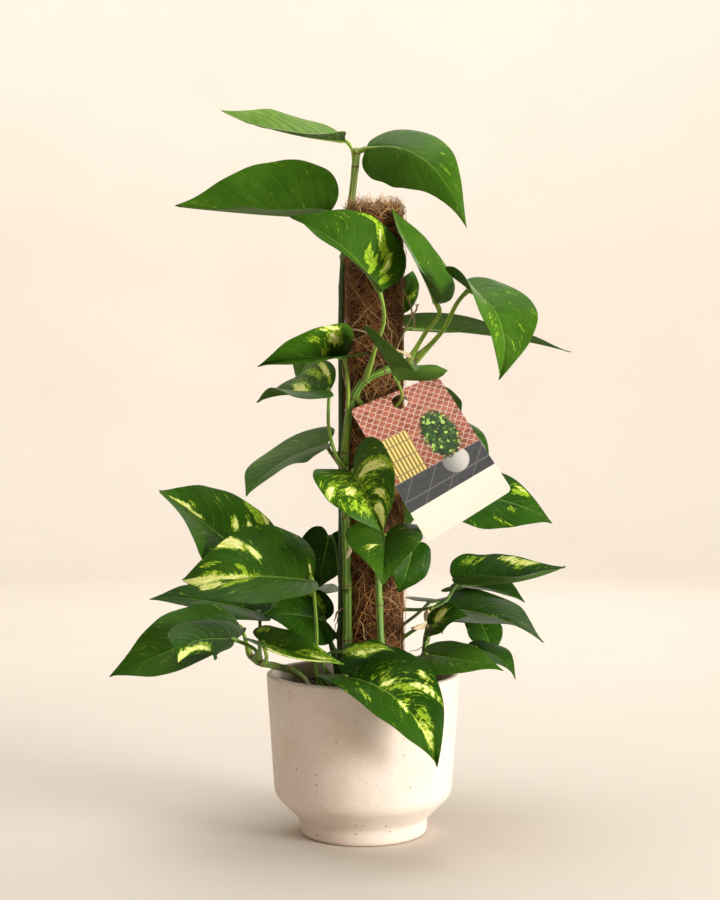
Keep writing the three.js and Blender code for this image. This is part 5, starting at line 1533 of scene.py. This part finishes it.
def make_blade_material():
    """Reads leaf_place: vein, side and 1 on the underside; and leaf_tint: cream, lime and youth."""
    material, net, shader = new_material("leaf_blade", Specular_IOR_Level=0.07)
    vein, side, under = net.split(net.attribute("leaf_place")["Vector"])
    cream, lime, young = net.split(net.attribute("leaf_tint")["Vector"])
    seed = net.attribute("leaf_seed")["Fac"]
    out = net.math("ABSOLUTE", side)
    half = net.plus(seed, net.times(net.math("SIGN", side), 3.7))
    broad = net.noise(net.join(net.times(vein, 14.0), net.times(out, 1.3), half), 1.0, 4.0, 0.65)
    fine = net.noise(net.join(net.times(vein, 60.0), net.times(out, 3.6), half), 1.0, 3.0, 0.6)
    fleck = net.noise(net.place(), 420.0, 3.0, 0.6)
    streak = net.plus(net.times(net.minus(broad, 0.5), 1.2), net.times(net.minus(fine, 0.5), 1.7))
    streak = net.plus(streak, net.times(net.minus(fleck, 0.5), 0.8))
    creamy = net.step(net.plus(cream, net.times(streak, 0.75)), 0.46, 0.66)
    creamy = net.times(creamy, net.step(cream, 0.02, 0.2))
    limy = net.step(net.plus(lime, net.times(streak, 0.9)), 0.40, 0.66)
    limy = net.times(limy, net.step(lime, 0.02, 0.2))
    # Every cream patch fades out through a lime rim.
    rim = net.step(net.plus(cream, net.times(streak, 0.8)), 0.20, 0.48)
    limy = net.math("MAXIMUM", limy, rim)

    # Green: deeper in old leaves, cloudy, lighter along the veins.
    cloud = net.group(MOTTLE, Vector=net.place(), Scale=38.0, Detail=4.0, Low=0.3, High=0.7)
    deep = net.mix(cloud["Mask"], (0.011, 0.047, 0.0018), (0.020, 0.072, 0.0030))
    fresh = net.mix(cloud["Mask"], (0.042, 0.125, 0.0065), (0.066, 0.170, 0.010))
    newest = net.mix(cloud["Mask"], (0.105, 0.20, 0.034), (0.165, 0.28, 0.062))
    green = net.mix(net.times(young, 1.6, clamp=True), deep, fresh)
    green = net.mix(net.step(young, 0.6, 1.0), green, newest)
    counted = net.times(vein, float(SIDE_VEINS))
    far = net.math("PINGPONG", counted, 0.5)
    main = net.step(far, 0.10, 0.02)
    far_fine = net.math("PINGPONG", net.times(counted, 4.0), 0.5)
    # The newest leaf is still quilted, with painted shade darkening the furrows along its side veins.
    furrow_shade = net.times(net.step(far, 0.30, 0.04), net.step(young, 0.6, 1.0, 0.0, 0.55))
    thin = net.step(far_fine, 0.30, 0.05)
    fade = net.step(out, 1.0, 0.45, 0.25, 1.0)
    green = net.mix(furrow_shade, green, (0.060, 0.150, 0.020))
    lines = net.times(net.plus(net.times(main, 0.065), net.times(thin, 0.035)), fade)
    midrib = net.step(out, 0.034, 0.008)
    green = net.mix(lines, green, (0.16, 0.31, 0.045))
    green = net.wash(green, midrib, 0.5, (0.20, 0.35, 0.050))

    pale = net.mix(net.step(fine, 0.35, 0.65), (0.56, 0.64, 0.085), (0.86, 0.87, 0.38))
    yellow = net.mix(net.step(fleck, 0.35, 0.65), (0.15, 0.30, 0.012), (0.34, 0.49, 0.030))
    colour = net.mix(limy, green, yellow)
    colour = net.mix(creamy, colour, pale)
    back = net.mix(0.55, colour, net.mix(cloud["Mask"], (0.065, 0.135, 0.022), (0.095, 0.18, 0.034)))
    colour = net.mix(under, colour, back)

    height = net.plus(net.times(main, -0.6), net.times(thin, -0.25))
    height = net.plus(net.times(height, fade), net.times(fleck, 0.5))
    rough = net.plus(net.step(cloud["Height"], 0.3, 0.7, 0.34, 0.46), net.times(under, 0.2))
    feed(net, shader, Base_Color=colour, Roughness=rough, Normal=net.bump(height, 0.35, 0.0005))
    return material


def make_petiole_material():
    """Reads leaf_place: share along the petiole and turn round it."""
    material, net, shader = new_material("leaf_petiole", Specular_IOR_Level=0.25)
    along, turn, _ = net.split(net.attribute("leaf_place")["Vector"])
    young = net.split(net.attribute("leaf_tint")["Vector"])[2]
    ridges = net.group(RIDGES, Turn=turn, Along=net.times(along, 60.0), Ridges=5.0)
    cloud = net.group(MOTTLE, Vector=net.place(), Scale=120.0, Detail=3.0, Low=0.35, High=0.65)
    old = net.mix(ridges["Mask"], (0.055, 0.120, 0.014), (0.13, 0.235, 0.034))
    new = net.mix(ridges["Mask"], (0.24, 0.39, 0.030), (0.44, 0.62, 0.095))
    colour = net.mix(net.times(young, 1.8, clamp=True), old, new)
    colour = net.wash(colour, net.step(along, 0.86, 0.97), 0.5, (0.25, 0.38, 0.07))
    colour = net.wash(colour, net.step(along, 0.14, 0.0), 0.4, (0.14, 0.12, 0.04))
    colour = net.wash(colour, cloud["Mask"], 0.25, (0.07, 0.11, 0.02))
    height = net.plus(ridges["Height"], net.times(cloud["Height"], 0.5))
    rough = net.step(cloud["Height"], 0.3, 0.7, 0.34, 0.5)
    feed(net, shader, Base_Color=colour, Roughness=rough, Normal=net.bump(height, 0.3, 0.0004))
    return material


def make_leaves():
    materials = (make_blade_material(), make_petiole_material())
    for number, (name, values) in enumerate(LEAVES.items()):
        leaf = {**USUAL, **values}
        seed = (number * 1.37) % 6.28
        points, faces, place, tint = blade_shell(name, leaf, seed)
        bundle = Bundle()
        bundle.add(points, faces, place, 0)
        bundle.add(*petiole_shell(leaf), 1)
        piece = bundle.make("leaf_" + name + "_grown", materials, "leaf_place")
        young = YOUNG.get(name, 0.0)
        rest = len(bundle.points) - len(tint)
        tints = np.vstack([tint, np.tile((0, 0, LIGHT_STALKS.get(name, young)), (rest, 1))])
        store(piece, "leaf_tint", "FLOAT_VECTOR", tints)
        store(piece, "leaf_seed", "FLOAT", [seed * 7] * len(bundle.points))
        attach(piece, "root")
        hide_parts("leaf_" + name)


make_leaves()

# ---- Twine tie ----
# One loose turn of straw-coloured three-strand twine round the sleeve and the tall vine. It sags
# at the front and is knotted at the right; both ends are short and have begun to fray.
# The turn is given as degrees round the pole from +X, distance from the pole's axis, height.
TIE_TURN = [
    (0, 31.8, 427.5), (12, 30.6, 437), (25, 28, 447), (50, 26.5, 461), (90, 26.5, 456), (130, 27.5, 436),
    (148, 32, 425), (160, 34.2, 419), (172, 32, 416), (194, 26.8, 414), (224, 26.5, 414), (254, 26.5, 411),
    (284, 26.5, 401), (308, 26.5, 396), (322, 26.8, 405), (337, 27.8, 415), (350, 30.4, 423.5),
]
TIE_STRAND, TIE_PITCH, TIE_STEP = 0.42, 3.4, 0.55


def closing(path, closed):
    """The length of the gap that a closed path still has to cross to its start."""
    return np.linalg.norm(path[0] - path[-1]) if closed else 0


def twisted(path, closed=False):
    """The paths of three strands laid round a path of even steps."""
    tangents = tangents_of(path, closed)
    run = run_of(path)
    turns = max(1, round(run[-1] / TIE_PITCH))
    steady = unit(np.cross(tangents, (0.05, 0.08, 1.0)))
    other = np.cross(tangents, steady)
    strands = []
    for k in range(3):
        phase = 2 * math.pi * (turns * run / (run[-1] + closing(path, closed)) + k / 3)
        around = steady * np.cos(phase)[:, None] + other * np.sin(phase)[:, None]
        strands.append(path + around * TIE_STRAND * 1.08)
    return strands


def even(points, step=TIE_STEP, closed=False):
    """The smooth curve through points, at even steps."""
    count = len(points) if closed else len(points) - 1
    where = np.linspace(0, count, 60 * count, endpoint=not closed)
    line = curve_at(points, where, closed)
    run = run_of(line)
    total = run[-1] + closing(line, closed)
    parts = max(4, round(total / step))
    at = np.arange(parts + (0 if closed else 1)) / parts * total
    run, line = np.r_[run, total], np.vstack([line, line[0 if closed else -1]])
    return np.stack([np.interp(at, run, line[:, k]) for k in range(3)], 1)


def make_twine():
    material, net, shader = new_material("straw_twine", Roughness=0.8, Specular_IOR_Level=0.2)
    along, turn, _ = net.split(net.attribute("stem_place")["Vector"])
    fibre = net.noise(net.join(net.times(along, 0.35), net.times(turn, 2.2), 0.0), 2.0, 4.0)
    cloud = net.group(MOTTLE, Vector=net.place(), Scale=220.0, Detail=3.0, Low=0.3, High=0.7)
    colour = net.mix(net.step(fibre, 0.3, 0.7), (0.30, 0.20, 0.09), (0.62, 0.50, 0.28))
    colour = net.wash(colour, cloud["Mask"], 0.3, (0.75, 0.66, 0.44))
    feed(net, shader, Base_Color=colour, Normal=net.bump(fibre, 0.5, 0.0003))
    bundle = Bundle()
    ring = []
    for degrees, out, height in TIE_TURN:
        angle = math.radians(degrees)
        ring.append((POLE_AXIS[0] + out * math.cos(angle), POLE_AXIS[1] + out * math.sin(angle), height))
    for strand in twisted(even(ring, closed=True), closed=True):
        bundle.add(*swept(strand, [TIE_STRAND] * len(strand), 6, closed=True))
    # The knot: a tight overhand turn, whose two ends run up and down.
    x, y, z = ring[0]
    knot = []
    for i in range(25):
        s = i / 24 * 3 * math.pi
        near = 1.7 * math.cos(s) * (1 + 0.2 * math.cos(2 * s))
        knot.append((x + 1.5 * math.sin(2 * s), y - near, z + 1.9 * math.sin(s + 0.5)))
    for strand in twisted(even(knot, 0.5)):
        bundle.add(*swept(strand, [TIE_STRAND] * len(strand), 6))
    ends = [
        [(x, y, z), (x + 3, y - 2, z + 4), (x + 4, y - 3, z + 9)],
        [(x, y, z), (x + 1.5, y - 4, z - 5), (x + 1, y - 6, z - 11)],
    ]
    for end in ends:
        line = even(end)
        s = np.linspace(0, 1, len(line))
        for strand in twisted(line):
            loose = unit(strand - line) * (np.maximum(0, s - 0.82)[:, None] * 9)
            bundle.add(*swept(strand + loose, TIE_STRAND * (1 - 0.5 * s**6), 6))
    tie = bundle.make("twine_knotted", (material,), "stem_place")
    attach(tie, "root")
    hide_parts("twine_tie")


make_twine()

# ---- Plant tag ----
# A printed card with rounded corners, hung by its punched hole on a petiole. It leans on the leaves
# and stems behind it, a little twisted. Its front is a generic garden picture over a bare strip.
TAG_WIDTH, TAG_LENGTH, TAG_THICKNESS = 79, 123, 0.7
TAG_CORNER, TAG_HOLE_RADIUS, TAG_HOLE_FROM_TOP = 4, 6.5, 9.5
TAG_HOLE_SIDES = 48
TAG_CORNERS = {
    "top_left": (-10.5, -42, 347), "top_right": (60.7, -16, 376.5), "low_left": (50.9, -64, 242),
    "low_right": (115.8, -73, 284),
}
# The printed picture, in millimetres across and down the card.
SCREEN_SIDES, SCREEN_TOP = (5.0, 31.0), 34.0
GROUND, PICTURE_END = 71.0, 95.9
BOWL_AT, BOWL_RADIUS = (54.0, 76.0), 11.0
BUSH_DOWN, BUSH_HALF_WIDTH, BUSH_HALF_HEIGHT = 50.0, 15.5, 24.0


def tag_points(flat):
    """The card's front at u across and v down, in millimetres on the flat card."""
    corners = {k: np.array(v, float) for k, v in TAG_CORNERS.items()}
    u, v = (flat[:, k : k + 1] / size for k, size in ((0, TAG_WIDTH), (1, TAG_LENGTH)))
    top = corners["top_left"] * (1 - u) + corners["top_right"] * u
    low = corners["low_left"] * (1 - u) + corners["low_right"] * u
    return top * (1 - v) + low * v


def within(net, value, low, high, soft=0.15):
    """1 where value lies between low and high, with soft edges."""
    rise = net.step(value, low - soft, low + soft)
    return net.times(rise, net.step(value, high + soft, high - soft))


def printed_tiles(net, u, v):
    """Roof tiles in rows of half rounds, with pale joints."""
    high = 3.4
    row = net.math("FLOOR", net.math("DIVIDE", v, high))
    odd = net.times(net.math("FRACT", net.times(row, 0.5)), 2 * high)
    column = net.math("DIVIDE", net.plus(u, odd), 2 * high)
    x = net.times(net.minus(net.math("FRACT", column), 0.5), 2 * high)
    y = net.minus(v, net.times(row, high))
    joint = within(net, net.distance(x, y), high - 0.5, high + 0.05, 0.2)
    number = net.join(net.math("FLOOR", column), row, 0.0)
    tone = net.add("ShaderNodeTexWhiteNoise", {0: number}).outputs["Value"]
    tile = net.mix(tone, (0.25, 0.060, 0.036), (0.44, 0.130, 0.078))
    return net.mix(joint, tile, (0.62, 0.50, 0.43))


def printed_reeds(net, u, v):
    """A screen of upright dry reeds, with dark bindings across them."""
    reed = net.math("PINGPONG", net.plus(u, net.times(v, 0.02)), 1.6)
    colour = net.mix(net.step(reed, 0.1, 0.9), (0.13, 0.085, 0.015), (0.70, 0.52, 0.13))
    colour = net.mix(net.step(reed, 1.0, 1.6), colour, (0.86, 0.76, 0.40))
    bound = within(net, net.math("PINGPONG", net.minus(v, SCREEN_TOP + 2), 12.0), 5.4, 6.4)
    return net.mix(bound, colour, (0.30, 0.22, 0.10))


def printed_paving(net, u, v):
    """Dark slate flags with paler joints."""
    slanted = within(net, net.math("PINGPONG", net.plus(u, v), 11.0), 0.5, 20.0, 0.3)
    level = within(net, net.math("PINGPONG", net.minus(v, GROUND), 8.0), 0.5, 20.0, 0.3)
    cloud = net.noise(net.join(u, v, 0.0), 0.25, 4.0)
    slate = net.mix(cloud, (0.028, 0.032, 0.038), (0.085, 0.090, 0.10))
    return net.mix(net.times(slanted, level), (0.16, 0.165, 0.17), slate)


def printed_bush(net, u, v, picture):
    """A round grey pot in front of the picture, and a clipped bush in it."""
    sheet = net.join(u, v, 0.0)
    x, y = net.minus(u, BOWL_AT[0]), net.minus(v, BOWL_AT[1])
    bowl = net.step(net.distance(x, y), BOWL_RADIUS + 0.2, BOWL_RADIUS - 0.2)
    bowl = net.times(bowl, net.step(v, GROUND - 0.4, GROUND))
    light = net.mix(net.step(x, -BOWL_RADIUS, 8.0), (0.22, 0.22, 0.21), (0.66, 0.65, 0.62))
    picture = net.mix(bowl, picture, light)
    x = net.math("DIVIDE", x, BUSH_HALF_WIDTH)
    y = net.math("DIVIDE", net.minus(v, BUSH_DOWN), BUSH_HALF_HEIGHT)
    wobble = net.times(net.minus(net.noise(sheet, 0.35, 3.0, 0.7), 0.5), 1.1)
    bush = net.plus(net.distance(x, y), wobble)
    cells = net.add("ShaderNodeTexVoronoi", {"Vector": sheet, "Scale": 0.42})
    tone = net.split(cells.outputs["Color"])[0]
    inner = net.step(cells.outputs["Distance"], 0.75, 0.15)
    leafy = net.mix(tone, (0.020, 0.085, 0.018), (0.13, 0.40, 0.055))
    leafy = net.mix(net.times(inner, 0.5), (0.010, 0.030, 0.010), leafy)
    leafy = net.mix(net.step(tone, 0.8, 0.9), leafy, (0.40, 0.62, 0.12))
    return net.mix(net.step(bush, 0.98, 0.86), picture, leafy)


def card_front():
    material, net, shader = new_material(
        "printed_card", Specular_IOR_Level=0.4, Coat_Weight=0.12, Coat_Roughness=0.25
    )
    u, v, _ = net.split(net.add("ShaderNodeUVMap", uv_map="flat_card").outputs[0])
    u = net.times(u, float(TAG_WIDTH))
    v = net.times(net.minus(1.0, v), float(TAG_LENGTH))
    picture = printed_tiles(net, u, v)
    screen = net.times(within(net, u, *SCREEN_SIDES), within(net, v, SCREEN_TOP, GROUND + 1))
    picture = net.mix(screen, picture, printed_reeds(net, u, v))
    picture = net.mix(net.step(v, GROUND - 0.2, GROUND + 0.2), picture, printed_paving(net, u, v))
    picture = printed_bush(net, u, v, picture)
    # Below the picture the strip is bare cream.
    colour = net.mix(net.step(v, PICTURE_END - 0.2, PICTURE_END + 0.2), picture, (0.95, 0.925, 0.80))
    grain = net.group(MOTTLE, Vector=net.place(), Scale=1400.0, Detail=2.0, Low=0.3, High=0.7)
    colour = net.wash(colour, grain["Mask"], 0.04, (0.80, 0.76, 0.64))
    rough = net.step(grain["Height"], 0.3, 0.7, 0.30, 0.40)
    feed(net, shader, Base_Color=colour, Roughness=rough, Normal=net.bump(grain["Height"], 0.08, 0.0001))
    return material


def card_paper():
    material, net, shader = new_material("card_paper", Specular_IOR_Level=0.25)
    grain = net.group(MOTTLE, Vector=net.place(), Scale=1100.0, Detail=4.0, Low=0.3, High=0.7)
    cloud = net.group(MOTTLE, Vector=net.place(), Scale=45.0, Detail=3.0, Low=0.3, High=0.7)
    colour = net.mix(grain["Mask"], (0.80, 0.76, 0.64), (0.87, 0.84, 0.73))
    colour = net.wash(colour, cloud["Mask"], 0.25, (0.74, 0.68, 0.55))
    feed(net, shader, Base_Color=colour, Roughness=net.step(grain["Height"], 0.3, 0.7, 0.6, 0.8))
    feed(net, shader, Normal=net.bump(grain["Height"], 0.15, 0.0001))
    return material


def from_hole(x, y):
    """How far a place on the flat card lies from the middle of its hole."""
    return math.hypot(x - TAG_WIDTH / 2, y - TAG_HOLE_FROM_TOP)


def card_shape():
    """Points and triangles of the flat card, with rounded corners and the hole near its top."""
    corner, width, length = TAG_CORNER, TAG_WIDTH, TAG_LENGTH
    right, low = width - corner, length - corner
    loop = []
    for x, y, turn in ((right, corner, -90), (right, low, 0), (corner, low, 90), (corner, corner, 180)):
        for k in range(9):
            angle = math.radians(turn + 90 * k / 8)
            loop.append((x + corner * math.cos(angle), y + corner * math.sin(angle)))
    hole = []
    for k in range(TAG_HOLE_SIDES):
        angle = -2 * math.pi * k / TAG_HOLE_SIDES
        x = width / 2 + TAG_HOLE_RADIUS * math.cos(angle)
        hole.append((x, TAG_HOLE_FROM_TOP + TAG_HOLE_RADIUS * math.sin(angle)))
    inner = [(x, y) for x in np.linspace(3, width - 3, 25) for y in np.linspace(3, length - 3, 39)]
    inner = [at for at in inner if from_hole(*at) > TAG_HOLE_RADIUS + 1.2]
    edges = []
    for first, count in ((0, len(loop)), (len(loop), len(hole))):
        edges += [(first + i, first + (i + 1) % count) for i in range(count)]
    places = [Vector(at) for at in loop + hole + inner]
    made = geometry.delaunay_2d_cdt(places, edges, [], 0, 1e-6)
    flat = np.array([tuple(at) for at in made[0]])
    faces = [tuple(face) for face in made[2]]
    faces = [face for face in faces if from_hole(*flat[list(face)].mean(0)) > TAG_HOLE_RADIUS * 0.98]
    return flat, faces


def make_tag():
    flat, faces = card_shape()
    front = tag_points(flat)
    across = np.subtract(*tag_points(np.array([(TAG_WIDTH, TAG_LENGTH / 2), (0, TAG_LENGTH / 2)])))
    down = np.subtract(*tag_points(np.array([(TAG_WIDTH / 2, TAG_LENGTH), (TAG_WIDTH / 2, 0)])))
    back = unit(np.cross(across, down))
    count = len(flat)
    points = np.vstack([front, front + back * TAG_THICKNESS])
    edges = [pair for face in faces for pair in zip(face, face[1:] + face[:1])]
    paired = set(edges)
    rim = [(a, b) for a, b in edges if (b, a) not in paired]
    shell = two_sided([face[::-1] for face in faces], rim, count)
    tag = outward(add_object("hung_tag", points, shell, card_front(), card_paper(), smooth=False))
    slots = [0] * len(faces) + [1] * (len(faces) + len(rim))
    tag.data.polygons.foreach_set("material_index", slots)
    spread = tag.data.uv_layers.new(name="flat_card")
    corners = np.empty(len(tag.data.loops), int)
    tag.data.loops.foreach_get("vertex_index", corners)
    at = flat[corners % count] / (TAG_WIDTH, TAG_LENGTH)
    spread.data.foreach_set("uv", np.stack([at[:, 0], 1 - at[:, 1]], 1).ravel())
    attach(tag, "root")
    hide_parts("plant_tag")


make_tag()
